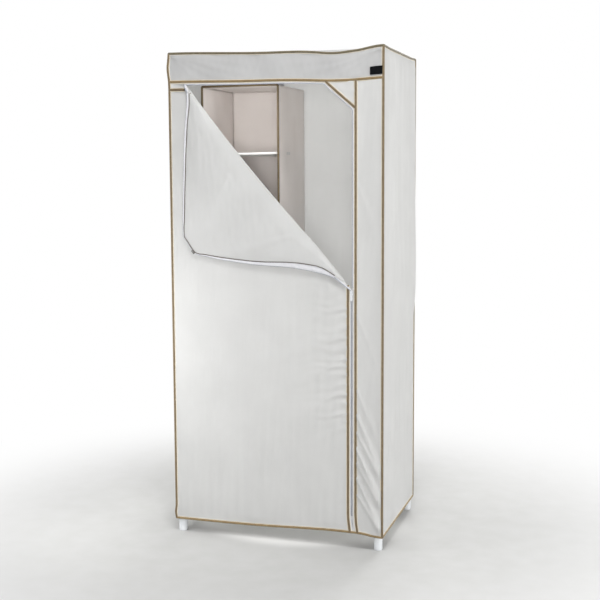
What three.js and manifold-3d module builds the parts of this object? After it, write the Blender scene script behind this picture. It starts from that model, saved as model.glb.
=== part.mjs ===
// Portable fabric wardrobe: a push-together tube frame under a zipped cloth cover, with a
// hanging shelf unit inside. Millimetres, +Z up, the open front faces -Y, origin on the floor
// at the middle of the footprint.
import * as THREE from 'three';
import { mergeVertices } from 'three/addons/utils/BufferGeometryUtils.js';
import Module from 'manifold-3d';

const wasm = await Module();
wasm.setup();

// Overall sizes, measured over the piping
const WIDTH = 720;
const DEPTH = 480;
const HEIGHT = 1600;
const HEM_HEIGHT = 44;

// Running clearance between pieces that touch
const GAP = 0.3;
// How far a cutting tool runs past the face it cuts
const OVERRUN = 2;

// Cloth and the round piping sewn into its seams
const CLOTH = 1.2;
const PIPING_RADIUS = 2.2;
const PIPING_SIDES = 8;

// Frame tubes
const TUBE_RADIUS = 8;
const TUBE_WALL = 0.9;
const TUBE_SIDES = 12;

// Plastic joints: a thick upright sleeve, thinner arms, a lip round each mouth
const SLEEVE_RADIUS = 14;
const ARM_RADIUS = 11.5;
const SOCKET_DEPTH = 32;
const SOCKET_FLOOR = 12;
const LIP_WIDTH = 1.6;
const LIP_LENGTH = 5;
const JOINT_SIDES = 16;
const FOOT_TIP_RADIUS = 12.4;
const FOOT_TAPER = 2.5;
const FOOT_RING_HEIGHT = 24;
const FOOT_RING_DEPTH = 1.2;
const FOOT_RING_LENGTH = 4;
const BOTTOM_RAIL_HEIGHT = 82;
const DOME_DROP = 2;
const DOME_INSET = 4;
const TOP_ARM_DROP = 14;

// Sleeve that joins the two halves of a post
const COUPLER_HEIGHT = 818;
const COUPLER_STOP = 3;
const COUPLER_COLLAR_RADIUS = 13.2;
const COUPLER_COLLAR_LENGTH = 12;
const COUPLER_CHAMFER = 1.5;

// Front of the cover: seams seen from the front
const VALANCE_HEIGHT = 97;
const JAMB_WIDTH = 90;
const GUSSET_WIDTH = 99;
const GUSSET_DROP = 92;
const ZIP_START_INSET = 55;
const ZIP_HALF_WIDTH = 12.5;

// Zip: two tapes, each with its row of teeth, and a slot for the neck of the slider
const TAPE_THICKNESS = 0.8;
const TEETH_THICKNESS = 2.4;
const TEETH_WIDTH = 2;
const ZIP_SLOT = 2.6;
const SLIDER_HEIGHT = 833;

// Zip slider and its puller
const SLIDER_WIDTH = 11;
const SLIDER_LENGTH = 16;
const SLIDER_PLATE = 1.6;
const SLIDER_NECK_LENGTH = 4;
const SLIDER_FLANGE = 1.2;
const BAIL_WIDTH = 2.4;
const BAIL_STOCK = 1.1;
const BAIL_REACH = 2.4;
const BAIL_LENGTH = 9;
const PULLER_WIDTH = 7;
const PULLER_LENGTH = 26;
const PULLER_THICKNESS = 1.2;
const PULLER_BAR = 1.4;
const PULLER_WINDOW = 6;
const PULLER_TIP_RADIUS = 2.4;
const PULLER_TIP_SIDES = 3;

// Door flap, folded open over its fold line, from the zip's start to just above the slider
const FOLD_TOP_INSET = 14;
const FOLD_TOP_DROP = 23;
const FOLD_FOOT_INSET = 14;
const FOLD_FOOT_RISE = 10;
const FLAP_DROP = 333;
const FLAP_TAPE = 10;
const FLAP_HANG = 10;
const FLAP_BELLY = 14;
const FLAP_RIPPLE = 3;
const FLAP_RIPPLE_HALF_WAVES = 3;
const FLAP_ROWS = 30;
const FLAP_COLUMNS = 12;
// Zip edge of the flap: shares of the fold's length along it, and of the drop away from it
const flapEdgeShares = [
  [0.03, 0.072],
  [0.1035, 0.268],
  [0.2375, 0.594],
  [0.376, 0.921],
  [0.4085, 1],
  [0.501, 0.982],
  [0.564, 0.857],
  [0.6825, 0.587],
  [0.793, 0.3125],
  [0.88, 0.135],
  [0.915, 0.082],
];
const flapFoldStartShare = 0.008;
const flapFoldEndShare = 0.955;
const flapLiftShare = 0.16;

// Hanging shelf unit
const SHELF_UNIT_WIDTH = 268;
const SHELF_UNIT_DEPTH = 285;
const SHELF_UNIT_INSET = 76;
const SHELF_UNIT_DROP = 104;
const FIRST_SHELF_DROP = 216;
const SHELF_PITCH = 174;
const SHELF_THICKNESS = 9;
const SHELF_COUNT = 6;
const STRAP_WIDTH = 40;
const STRAP_THICKNESS = 1.5;
const STRAP_INSET = 30;
const STRAP_SIDES = 16;

// Planes that follow from the sizes above
const bead = PIPING_RADIUS - CLOTH / 2;
const sideFace = WIDTH / 2 - bead;
const frontFace = DEPTH / 2 - bead;
const topFace = HEIGHT - bead;
const seamX = sideFace - CLOTH / 2;
const seamY = frontFace - CLOTH / 2;
const seamTop = topFace - CLOTH / 2;
const seamHem = HEM_HEIGHT + PIPING_RADIUS;
const seamRoom = PIPING_RADIUS + GAP;
const postX = seamX - seamRoom - SLEEVE_RADIUS;
const postY = seamY - seamRoom - SLEEVE_RADIUS;
const jointTop = seamTop - seamRoom;
const topRailHeight = jointTop - TOP_ARM_DROP;
const armReach = SOCKET_FLOOR + SOCKET_DEPTH;
const boreRadius = TUBE_RADIUS + GAP;
const valanceSeam = HEIGHT - VALANCE_HEIGHT;
const jambSeamX = WIDTH / 2 - JAMB_WIDTH;
const zipStartX = ZIP_START_INSET - WIDTH / 2;

const plastic = new THREE.MeshStandardMaterial({ color: 0xf1f1ee, roughness: 0.5, metalness: 0 });
const steel = new THREE.MeshStandardMaterial({ color: 0xe8e8e5, roughness: 0.35, metalness: 0.1 });
const cloth = new THREE.MeshStandardMaterial({ color: 0xe3e3e1, roughness: 0.95, metalness: 0 });
const innerCloth = new THREE.MeshStandardMaterial({ color: 0xd6d0c6, roughness: 0.95, metalness: 0 });
const piping = new THREE.MeshStandardMaterial({ color: 0x96815c, roughness: 0.8, metalness: 0 });
const tape = new THREE.MeshStandardMaterial({ color: 0xf3f3f4, roughness: 0.8, metalness: 0 });
const metal = new THREE.MeshStandardMaterial({ color: 0xd5d5d8, roughness: 0.35, metalness: 0.6 });

const wardrobe = new THREE.Group();

function place(name, geometry, material) {
  const mesh = new THREE.Mesh(geometry, material);
  mesh.name = name;
  wardrobe.add(mesh);
}

// Booleans

function toSolid(geometry) {
  const bare = geometry.clone();
  bare.deleteAttribute('normal');
  bare.deleteAttribute('uv');
  const merged = mergeVertices(bare);
  return new wasm.Manifold(new wasm.Mesh({
    numProp: 3,
    vertProperties: new Float32Array(merged.attributes.position.array),
    triVerts: new Uint32Array(merged.index.array),
  }));
}

function toGeometry(solid) {
  const mesh = solid.getMesh();
  const geometry = new THREE.BufferGeometry();
  geometry.setAttribute('position', new THREE.BufferAttribute(new Float32Array(mesh.vertProperties), 3));
  geometry.setIndex(new THREE.BufferAttribute(new Uint32Array(mesh.triVerts), 1));
  geometry.computeVertexNormals();
  return geometry;
}

function union(geometries) {
  return geometries.map(toSolid).reduce((whole, piece) => whole.add(piece));
}

// Basic shapes

function box(low, high) {
  const size = high.map((value, axis) => value - low[axis]);
  const middle = high.map((value, axis) => (value + low[axis]) / 2);
  return new THREE.BoxGeometry(...size).translate(...middle);
}

// Turns a shape made along +Z to run along another axis
function along(axis, geometry) {
  if (axis === 'x') return geometry.rotateY(Math.PI / 2);
  if (axis === 'y') return geometry.rotateX(-Math.PI / 2);
  return geometry;
}

function placedAt(axis, start, centre) {
  const at = { x: centre[0], y: centre[1], z: centre[2] };
  at[axis] = start;
  return [at.x, at.y, at.z];
}

// A round bar along an axis, from one place on it to another
function rod(axis, radius, from, to, centre, sides) {
  const start = Math.min(from, to);
  const length = Math.abs(to - from);
  const bar = new THREE.CylinderGeometry(radius, radius, length, sides);
  bar.rotateX(Math.PI / 2).translate(0, 0, length / 2);
  return along(axis, bar).translate(...placedAt(axis, start, centre));
}

// A thin steel tube along an axis
function tube(axis, from, to, centre) {
  const ring = new THREE.Shape().absarc(0, 0, TUBE_RADIUS, 0, 2 * Math.PI, false);
  ring.holes.push(new THREE.Path().absarc(0, 0, TUBE_RADIUS - TUBE_WALL, 0, 2 * Math.PI, true));
  const options = { depth: to - from, bevelEnabled: false, curveSegments: TUBE_SIDES / 2 };
  const length = new THREE.ExtrudeGeometry(ring, options);
  return along(axis, length).translate(...placedAt(axis, from, centre));
}

// A flat outline in the front view, given a thickness about a depth y
function frontPlate(outline, y, thickness) {
  const shape = new THREE.Shape(outline.map(([x, z]) => new THREE.Vector2(x, z)));
  const plate = new THREE.ExtrudeGeometry(shape, { depth: thickness, bevelEnabled: false });
  return plate.rotateX(Math.PI / 2).translate(0, y + thickness / 2, 0);
}

// The corner joints: an upright sleeve and two arms, with a blind socket in each

// Arm from the middle of a joint towards one side, with the lip round its mouth
function arm(axis, sign, centre) {
  const middle = centre['xyz'.indexOf(axis)];
  const mouth = middle + sign * armReach;
  const lipStart = middle + sign * (armReach - LIP_LENGTH);
  return [
    rod(axis, ARM_RADIUS, middle, mouth, centre, JOINT_SIDES),
    rod(axis, ARM_RADIUS + LIP_WIDTH, lipStart, mouth, centre, JOINT_SIDES),
  ];
}

function armBore(axis, sign, centre) {
  const middle = centre['xyz'.indexOf(axis)];
  const floor = middle + sign * SOCKET_FLOOR;
  const past = middle + sign * (armReach + OVERRUN);
  return rod(axis, boreRadius, floor, past, centre, TUBE_SIDES);
}

// Upright sleeve turned from a side profile of radius and height
function turned(profile, centre) {
  const points = profile.map(([radius, height]) => new THREE.Vector2(radius, height));
  const body = new THREE.LatheGeometry(points, JOINT_SIDES).rotateX(Math.PI / 2);
  return body.translate(centre[0], centre[1], 0);
}

function footProfile() {
  const mouth = BOTTOM_RAIL_HEIGHT + armReach;
  const ringTop = FOOT_RING_HEIGHT + FOOT_RING_LENGTH;
  const ringRadius = SLEEVE_RADIUS - FOOT_RING_DEPTH;
  return [
    [0, 0],
    [FOOT_TIP_RADIUS, 0],
    [SLEEVE_RADIUS - FOOT_RING_DEPTH, FOOT_TAPER],
    [SLEEVE_RADIUS, FOOT_TAPER + FOOT_RING_DEPTH],
    [SLEEVE_RADIUS, FOOT_RING_HEIGHT],
    [ringRadius, FOOT_RING_HEIGHT],
    [ringRadius, ringTop],
    [SLEEVE_RADIUS, ringTop],
    [SLEEVE_RADIUS, mouth],
    [0, mouth],
  ];
}

function capProfile() {
  const mouth = topRailHeight - armReach;
  return [
    [0, mouth],
    [SLEEVE_RADIUS, mouth],
    [SLEEVE_RADIUS, jointTop - DOME_INSET],
    [SLEEVE_RADIUS - DOME_DROP, jointTop - DOME_DROP],
    [SLEEVE_RADIUS - DOME_INSET - DOME_DROP, jointTop],
    [0, jointTop],
  ];
}

function cornerJoint(signX, signY, upper) {
  const height = upper ? topRailHeight : BOTTOM_RAIL_HEIGHT;
  const centre = [signX * postX, signY * postY, height];
  const postSide = upper ? -1 : 1;
  const profile = upper ? capProfile() : footProfile();
  const sleeve = turned(profile, centre);
  const body = union([sleeve, ...arm('x', -signX, centre), ...arm('y', -signY, centre)]);
  const bores = [
    armBore('x', -signX, centre),
    armBore('y', -signY, centre),
    armBore('z', postSide, centre),
  ];
  return toGeometry(bores.map(toSolid).reduce((whole, bore) => whole.subtract(bore), body));
}

// Tee on the side rails that carries the end of the hanging rail
function railTee(signX) {
  const centre = [signX * postX, 0, topRailHeight];
  const armFloor = signX * (postX - SOCKET_FLOOR);
  const mouth = SOCKET_DEPTH + SOCKET_FLOOR / 2;
  const body = union([
    rod('y', ARM_RADIUS, -mouth, mouth, centre, JOINT_SIDES),
    rod('y', ARM_RADIUS + LIP_WIDTH, -mouth, LIP_LENGTH - mouth, centre, JOINT_SIDES),
    rod('y', ARM_RADIUS + LIP_WIDTH, mouth - LIP_LENGTH, mouth, centre, JOINT_SIDES),
    ...arm('x', -signX, centre),
  ]);
  const past = signX * (postX - armReach - OVERRUN);
  const bores = [
    rod('y', boreRadius, -mouth - OVERRUN, -SOCKET_FLOOR / 2, centre, TUBE_SIDES),
    rod('y', boreRadius, SOCKET_FLOOR / 2, mouth + OVERRUN, centre, TUBE_SIDES),
    rod('x', boreRadius, armFloor, past, centre, TUBE_SIDES),
  ];
  return toGeometry(bores.map(toSolid).reduce((whole, bore) => whole.subtract(bore), body));
}

// Straight sleeve with a stop in the middle
function coupler(signX, signY) {
  const half = SOCKET_DEPTH + COUPLER_STOP / 2;
  const stop = COUPLER_STOP / 2;
  const collar = COUPLER_COLLAR_LENGTH / 2;
  const rim = ARM_RADIUS - COUPLER_CHAMFER;
  const profile = [
    [0, -stop],
    [boreRadius, -stop],
    [boreRadius, -half],
    [rim, -half],
    [ARM_RADIUS, COUPLER_CHAMFER - half],
    [ARM_RADIUS, -collar],
    [COUPLER_COLLAR_RADIUS, -collar],
    [COUPLER_COLLAR_RADIUS, collar],
    [ARM_RADIUS, collar],
    [ARM_RADIUS, half - COUPLER_CHAMFER],
    [rim, half],
    [boreRadius, half],
    [boreRadius, stop],
    [0, stop],
  ];
  return turned(profile, [signX * postX, signY * postY]).translate(0, 0, COUPLER_HEIGHT);
}

const corners = [
  ['front_left', -1, -1],
  ['front_right', 1, -1],
  ['back_left', -1, 1],
  ['back_right', 1, 1],
];

for (const [corner, signX, signY] of corners) {
  const centre = [signX * postX, signY * postY, 0];
  const seat = COUPLER_STOP / 2 + GAP;
  const postFoot = BOTTOM_RAIL_HEIGHT + SOCKET_FLOOR + GAP;
  const postHead = topRailHeight - SOCKET_FLOOR - GAP;
  place(`foot_joint_${corner}`, cornerJoint(signX, signY, false), plastic);
  place(`lower_post_${corner}`, tube('z', postFoot, COUPLER_HEIGHT - seat, centre), steel);
  place(`coupler_${corner}`, coupler(signX, signY), plastic);
  place(`upper_post_${corner}`, tube('z', COUPLER_HEIGHT + seat, postHead, centre), steel);
  place(`top_joint_${corner}`, cornerJoint(signX, signY, true), plastic);
}

const railEndX = postX - SOCKET_FLOOR - GAP;
const railEndY = postY - SOCKET_FLOOR - GAP;
const teeSeat = SOCKET_FLOOR / 2 + GAP;

for (const [side, signY] of [['front', -1], ['back', 1]]) {
  const top = [0, signY * postY, topRailHeight];
  const bottom = [0, signY * postY, BOTTOM_RAIL_HEIGHT];
  place(`top_rail_${side}`, tube('x', -railEndX, railEndX, top), steel);
  place(`bottom_rail_${side}`, tube('x', -railEndX, railEndX, bottom), steel);
}

for (const [side, signX] of [['left', -1], ['right', 1]]) {
  const top = [signX * postX, 0, topRailHeight];
  const bottom = [signX * postX, 0, BOTTOM_RAIL_HEIGHT];
  place(`bottom_rail_${side}`, tube('y', -railEndY, railEndY, bottom), steel);
  place(`top_rail_${side}_front`, tube('y', -railEndY, -teeSeat, top), steel);
  place(`top_rail_${side}_back`, tube('y', teeSeat, railEndY, top), steel);
  place(`rail_tee_${side}`, railTee(signX), plastic);
}

place('hanging_rail', tube('x', -railEndX, railEndX, [0, 0, topRailHeight]), steel);

// The cloth cover

const panelX = seamX - seamRoom;
const panelY = seamY - seamRoom;
const panelTop = seamTop - seamRoom;
const panelHem = seamHem + seamRoom;
const belowValance = valanceSeam - seamRoom;
const aboveValance = valanceSeam + seamRoom;

place('cover_top', box(
  [-panelX, -panelY, topFace - CLOTH],
  [panelX, panelY, topFace],
), cloth);
place('cover_back', box(
  [-panelX, frontFace - CLOTH, panelHem],
  [panelX, frontFace, panelTop],
), cloth);
for (const [side, signX] of [['left', -1], ['right', 1]]) {
  const middle = signX * seamX;
  place(`cover_${side}_side`, box(
    [middle - CLOTH / 2, -panelY, panelHem],
    [middle + CLOTH / 2, panelY, panelTop],
  ), cloth);
}
place('cover_valance', box(
  [-panelX, -frontFace, aboveValance],
  [panelX, CLOTH - frontFace, panelTop],
), cloth);
place('cover_jamb', box(
  [jambSeamX + seamRoom, -frontFace, panelHem],
  [panelX, CLOTH - frontFace, belowValance],
), cloth);

// A line of the front view moved sideways, with mitred corners
function offsetLine(points, distance) {
  const normals = points.slice(1).map(([x, z], index) => {
    const run = new THREE.Vector2(x - points[index][0], z - points[index][1]).normalize();
    return new THREE.Vector2(run.y, -run.x);
  });
  return points.map(([x, z], index) => {
    const before = normals[Math.max(index - 1, 0)];
    const after = normals[Math.min(index, normals.length - 1)];
    const mitre = before.clone().add(after).normalize();
    const reach = distance / mitre.dot(after);
    return [x + mitre.x * reach, z + mitre.y * reach];
  });
}

// Seam of the opening: along the valance, across the gusset, down the jamb
const gussetTopX = jambSeamX - GUSSET_WIDTH;
const gussetFootZ = valanceSeam - GUSSET_DROP;
const jambSeam = [
  [zipStartX + GAP, valanceSeam],
  [gussetTopX, valanceSeam],
  [jambSeamX, gussetFootZ],
  [jambSeamX, panelHem],
];
const gussetRun = new THREE.Vector2(GUSSET_WIDTH, -GUSSET_DROP).normalize();
const gussetSlope = gussetRun.y / gussetRun.x;
// Height of the gusset's own edge, which keeps off its piping
function gussetEdge(x) {
  return valanceSeam + (x - gussetTopX) * gussetSlope + seamRoom / gussetRun.x;
}
const gussetLeft = gussetTopX + (belowValance - gussetEdge(gussetTopX)) / gussetSlope;
const gussetRight = jambSeamX - seamRoom;
place('cover_gusset', frontPlate([
  [gussetLeft, belowValance],
  [gussetRight, gussetEdge(gussetRight)],
  [gussetRight, belowValance],
], -seamY, CLOTH), cloth);

// Door: the fixed cloth left of and below the fold
const doorSeamX = jambSeamX - 2 * ZIP_HALF_WIDTH;
const zipX = jambSeamX - ZIP_HALF_WIDTH;
const zipTop = valanceSeam - ZIP_HALF_WIDTH;
const foldTop = new THREE.Vector2(zipStartX + FOLD_TOP_INSET, valanceSeam - FOLD_TOP_DROP);
const foldFoot = new THREE.Vector2(jambSeamX - FOLD_FOOT_INSET, SLIDER_HEIGHT + FOLD_FOOT_RISE);
const foldRun = foldFoot.clone().sub(foldTop);
const foldLength = foldRun.length();
const foldDirection = foldRun.clone().normalize();
const awayFromFold = new THREE.Vector2(foldDirection.y, -foldDirection.x);
function foldHeight(x) {
  return foldTop.y + (x - foldTop.x) * foldDirection.y / foldDirection.x;
}
const doorEdgeX = doorSeamX - seamRoom;
place('cover_door', frontPlate([
  [-panelX, panelHem],
  [doorEdgeX, panelHem],
  [doorEdgeX, foldHeight(doorEdgeX)],
  [foldTop.x, foldTop.y],
  [zipStartX, zipTop],
  [zipStartX, belowValance],
  [-panelX, belowValance],
], -seamY, CLOTH), cloth);

// Zip tape along the opening: a flat band with the thicker row of teeth on its free edge
function band(seam, inner, outer, thickness) {
  const near = offsetLine(seam, inner);
  const far = offsetLine(seam, outer).reverse();
  return frontPlate([...near, ...far], -seamY, thickness);
}
const teethLine = ZIP_HALF_WIDTH - ZIP_SLOT / 2;
place('zip_tape_jamb', toGeometry(union([
  band(jambSeam, seamRoom, teethLine - TEETH_WIDTH / 2, TAPE_THICKNESS),
  band(jambSeam, teethLine - TEETH_WIDTH, teethLine, TEETH_THICKNESS),
])), tape);

const doorTapeTop = foldHeight(zipX) + ZIP_SLOT;
place('zip_tape_door', toGeometry(union([
  frontPlate([
    [doorSeamX + seamRoom, panelHem],
    [zipX - ZIP_SLOT / 2 - TEETH_WIDTH / 2, panelHem],
    [zipX - ZIP_SLOT / 2 - TEETH_WIDTH / 2, doorTapeTop],
    [doorSeamX + seamRoom, doorTapeTop],
  ], -seamY, TAPE_THICKNESS),
  frontPlate([
    [zipX - ZIP_SLOT / 2 - TEETH_WIDTH, panelHem],
    [zipX - ZIP_SLOT / 2, panelHem],
    [zipX - ZIP_SLOT / 2, doorTapeTop],
    [zipX - ZIP_SLOT / 2 - TEETH_WIDTH, doorTapeTop],
  ], -seamY, TEETH_THICKNESS),
])), tape);

// Piping beads
function beadX(from, to, y, z) {
  return rod('x', PIPING_RADIUS, from, to, [0, y, z], PIPING_SIDES);
}
function beadY(x, from, to, z) {
  return rod('y', PIPING_RADIUS, from, to, [x, 0, z], PIPING_SIDES);
}
function beadZ(x, y, from, to) {
  return rod('z', PIPING_RADIUS, from, to, [x, y, 0], PIPING_SIDES);
}
const beadRuns = [beadX(-seamX, seamX, -seamY, valanceSeam)];
for (const height of [seamHem, seamTop]) {
  for (const sign of [-1, 1]) {
    beadRuns.push(beadX(-seamX, seamX, sign * seamY, height));
    beadRuns.push(beadY(sign * seamX, -seamY, seamY, height));
  }
}
for (const [, signX, signY] of corners) {
  beadRuns.push(beadZ(signX * seamX, signY * seamY, seamHem - PIPING_RADIUS, seamTop + PIPING_RADIUS));
}
place('piping_cover', toGeometry(union(beadRuns)), piping);
place('piping_door', beadZ(doorSeamX, -seamY, panelHem, foldHeight(doorSeamX)), piping);

const gussetLength = Math.hypot(GUSSET_WIDTH, GUSSET_DROP);
const gussetAngle = Math.atan2(GUSSET_WIDTH, -GUSSET_DROP);
const gussetStart = seamRoom * gussetLength / GUSSET_DROP;
const gussetBead = new THREE.CylinderGeometry(
  PIPING_RADIUS, PIPING_RADIUS, gussetLength - gussetStart, PIPING_SIDES,
);
gussetBead.rotateX(Math.PI / 2).translate(0, 0, (gussetLength + gussetStart) / 2);
gussetBead.rotateY(gussetAngle).translate(gussetTopX, -seamY, valanceSeam);
const jambBead = beadZ(jambSeamX, -seamY, panelHem, belowValance);
const underValance = box(
  [-panelX, -DEPTH, gussetFootZ - GUSSET_DROP],
  [panelX, 0, belowValance],
);
const gussetPiping = toSolid(gussetBead).intersect(toSolid(underValance));
place('piping_jamb', toGeometry(toSolid(jambBead).add(gussetPiping)), piping);

// Door flap: one cloth that hangs in front of the door, laid out in rows from the fold

const seatDepth = frontFace + GAP + CLOTH / 2;
const hangDepth = frontFace + FLAP_HANG;

function onFold(share) {
  return foldTop.clone().addScaledVector(foldDirection, share * foldLength);
}

const flapEdge = new THREE.CatmullRomCurve3(flapEdgeShares.map(([run, drop]) => {
  const point = onFold(run).addScaledVector(awayFromFold, drop * FLAP_DROP);
  return new THREE.Vector3(point.x, 0, point.y);
}), false, 'centripetal');

// Depth in front of the frame's middle, by the place along the fold and away from it
function flapDepth(run, drop) {
  const lift = Math.min(drop / flapLiftShare, 1);
  const rise = lift * (2 - lift);
  const belly = FLAP_BELLY * Math.sin(Math.PI * drop) * Math.sin(Math.PI * run);
  const wave = Math.sin(FLAP_RIPPLE_HALF_WAVES * Math.PI * run);
  const ripple = FLAP_RIPPLE * wave * drop * (1 - drop);
  return -(seatDepth + (hangDepth - seatDepth) * rise + belly + ripple);
}

// A place on the zip edge, moved square to it and back into the cloth
function behindEdge(run, back) {
  const edge = flapEdge.getPoint(run);
  const tangent = flapEdge.getTangent(run);
  return new THREE.Vector2(edge.x - tangent.z * back, edge.z + tangent.x * back);
}

// A point of the flap, at a share of the way from the fold to a line behind the zip edge
function flapPoint(run, back, share) {
  const edge = behindEdge(run, 0);
  const line = behindEdge(run, back);
  const start = onFold(flapFoldStartShare + (flapFoldEndShare - flapFoldStartShare) * run);
  const drop = share * start.distanceTo(line) / start.distanceTo(edge);
  const point = start.clone().lerp(line, share);
  return new THREE.Vector3(point.x, flapDepth(run, drop), point.y);
}

// Closed sheet from a grid of points, thickened along Y
function sheet(rows, thickness) {
  const columns = rows[0].length;
  const count = rows.length * columns;
  const positions = [];
  for (const side of [-thickness / 2, thickness / 2]) {
    for (const row of rows) {
      for (const point of row) positions.push(point.x, point.y + side, point.z);
    }
  }
  const faces = [];
  const at = (row, column) => row * columns + column;
  for (let row = 0; row < rows.length - 1; row += 1) {
    for (let column = 0; column < columns - 1; column += 1) {
      const a = at(row, column);
      const b = at(row, column + 1);
      const c = at(row + 1, column + 1);
      const d = at(row + 1, column);
      faces.push(a, b, c, a, c, d);
      faces.push(count + a, count + c, count + b, count + a, count + d, count + c);
    }
  }
  const rim = [];
  for (let column = 0; column < columns; column += 1) rim.push(at(0, column));
  for (let row = 1; row < rows.length; row += 1) rim.push(at(row, columns - 1));
  for (let column = columns - 2; column >= 0; column -= 1) rim.push(at(rows.length - 1, column));
  for (let row = rows.length - 2; row > 0; row -= 1) rim.push(at(row, 0));
  rim.forEach((from, index) => {
    const to = rim[(index + 1) % rim.length];
    faces.push(from, count + to, to, from, count + from, count + to);
  });
  const geometry = new THREE.BufferGeometry();
  geometry.setAttribute('position', new THREE.BufferAttribute(new Float32Array(positions), 3));
  geometry.setIndex(faces);
  geometry.computeVertexNormals();
  return geometry;
}

function flapGrid(back, from, to, columns) {
  const rows = [];
  for (let row = 0; row <= FLAP_ROWS; row += 1) {
    const points = [];
    for (let column = 0; column <= columns; column += 1) {
      const share = from + (to - from) * column / columns;
      points.push(flapPoint(row / FLAP_ROWS, back, share));
    }
    rows.push(points);
  }
  return rows;
}

const flapClothBack = FLAP_TAPE + 2 * PIPING_RADIUS + 2 * GAP;
place('door_flap', sheet(flapGrid(flapClothBack, 0, 1, FLAP_COLUMNS), CLOTH), cloth);

// Tape of the flap, from its piping to the teeth
function flapTapeGrid() {
  const rows = [];
  for (let row = 0; row <= FLAP_ROWS; row += 1) {
    const run = row / FLAP_ROWS;
    rows.push([flapPoint(run, FLAP_TAPE, 1), flapPoint(run, TEETH_WIDTH, 1), flapPoint(run, 0, 1)]);
  }
  return rows;
}
place('zip_tape_flap', sheet(flapTapeGrid(), TAPE_THICKNESS), tape);

// The bead steps from row to row, so that it keeps clear of the cloth beside it
class RowCurve extends THREE.CatmullRomCurve3 {
  getUtoTmapping(share) {
    return share;
  }
}
const flapBeadPath = new RowCurve(
  flapGrid(FLAP_TAPE + GAP + PIPING_RADIUS, 1, 1, 1).map((row) => row[1]), false, 'centripetal',
);
const beadSection = new THREE.Shape();
for (let side = 0; side < PIPING_SIDES - 2; side += 1) {
  const angle = 2 * Math.PI * side / (PIPING_SIDES - 2);
  const x = PIPING_RADIUS * Math.cos(angle);
  const y = PIPING_RADIUS * Math.sin(angle);
  if (side === 0) beadSection.moveTo(x, y);
  else beadSection.lineTo(x, y);
}
beadSection.closePath();
place('piping_flap', new THREE.ExtrudeGeometry(beadSection, {
  steps: FLAP_ROWS,
  extrudePath: flapBeadPath,
  bevelEnabled: false,
}), piping);

// Zip slider: two plates joined by a neck in the slot, flanges round the teeth, and a bail

const teethFront = seamY + TEETH_THICKNESS / 2;
const teethBack = seamY - TEETH_THICKNESS / 2;
const plateBackFace = teethFront + GAP;
const plateFrontFace = plateBackFace + SLIDER_PLATE;
const rearPlateFront = teethBack - GAP;
const tapeFront = seamY + TAPE_THICKNESS / 2;
const tapeBack = seamY - TAPE_THICKNESS / 2;
const sliderTop = SLIDER_HEIGHT + SLIDER_LENGTH / 2;
const sliderFoot = SLIDER_HEIGHT - SLIDER_LENGTH / 2;
const neckHalf = ZIP_SLOT / 2 - GAP;

function sliderPlate(front, back) {
  const half = SLIDER_WIDTH / 2;
  const tail = half - SLIDER_FLANGE;
  return frontPlate([
    [zipX - tail, sliderFoot],
    [zipX + tail, sliderFoot],
    [zipX + half, SLIDER_HEIGHT],
    [zipX + tail, sliderTop],
    [zipX - tail, sliderTop],
    [zipX - half, SLIDER_HEIGHT],
  ], -(front + back) / 2, front - back);
}

const sliderPieces = [
  sliderPlate(plateFrontFace, plateBackFace),
  sliderPlate(rearPlateFront, rearPlateFront - SLIDER_PLATE),
  box(
    [zipX - neckHalf, -plateFrontFace, sliderTop - SLIDER_NECK_LENGTH],
    [zipX + neckHalf, SLIDER_PLATE - rearPlateFront, sliderTop],
  ),
  box(
    [zipX - BAIL_WIDTH / 2, -(plateFrontFace + BAIL_REACH + BAIL_STOCK), SLIDER_HEIGHT - BAIL_LENGTH / 2],
    [zipX + BAIL_WIDTH / 2, -(plateFrontFace + BAIL_REACH), SLIDER_HEIGHT + BAIL_LENGTH / 2],
  ),
];
for (const sign of [-1, 1]) {
  const post = SLIDER_HEIGHT + sign * (BAIL_LENGTH - BAIL_STOCK) / 2;
  const flangeInner = ZIP_SLOT / 2 + TEETH_WIDTH + GAP;
  const flange = zipX + sign * (flangeInner + SLIDER_FLANGE / 2);
  sliderPieces.push(box(
    [zipX - BAIL_WIDTH / 2, -(plateFrontFace + BAIL_REACH + BAIL_STOCK), post - BAIL_STOCK / 2],
    [zipX + BAIL_WIDTH / 2, -plateBackFace, post + BAIL_STOCK / 2],
  ));
  sliderPieces.push(box(
    [flange - SLIDER_FLANGE / 2, -plateFrontFace, SLIDER_HEIGHT - SLIDER_LENGTH / 4],
    [flange + SLIDER_FLANGE / 2, -(tapeFront + GAP), SLIDER_HEIGHT + SLIDER_LENGTH / 4],
  ));
  sliderPieces.push(box(
    [flange - SLIDER_FLANGE / 2, -(tapeBack - GAP), SLIDER_HEIGHT - SLIDER_LENGTH / 4],
    [flange + SLIDER_FLANGE / 2, SLIDER_PLATE - rearPlateFront, SLIDER_HEIGHT + SLIDER_LENGTH / 4],
  ));
}
place('zip_slider', toGeometry(union(sliderPieces)), metal);

// Puller: a flat tag whose upper bar lies under the bail
const pullerDepth = plateFrontFace + BAIL_REACH / 2;
const pullerOuter = new THREE.Shape();
const pullerHalf = PULLER_WIDTH / 2;
const pullerTop = PULLER_BAR / 2;
const pullerFoot = pullerTop - PULLER_LENGTH;
pullerOuter.moveTo(-pullerHalf, pullerTop);
pullerOuter.lineTo(-pullerHalf, pullerFoot + PULLER_TIP_RADIUS);
pullerOuter.quadraticCurveTo(-pullerHalf, pullerFoot, PULLER_TIP_RADIUS - pullerHalf, pullerFoot);
pullerOuter.lineTo(pullerHalf - PULLER_TIP_RADIUS, pullerFoot);
pullerOuter.quadraticCurveTo(pullerHalf, pullerFoot, pullerHalf, pullerFoot + PULLER_TIP_RADIUS);
pullerOuter.lineTo(pullerHalf, pullerTop);
pullerOuter.closePath();
const windowHalf = BAIL_WIDTH / 2 + 2 * GAP;
const windowTop = -PULLER_BAR / 2;
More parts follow.
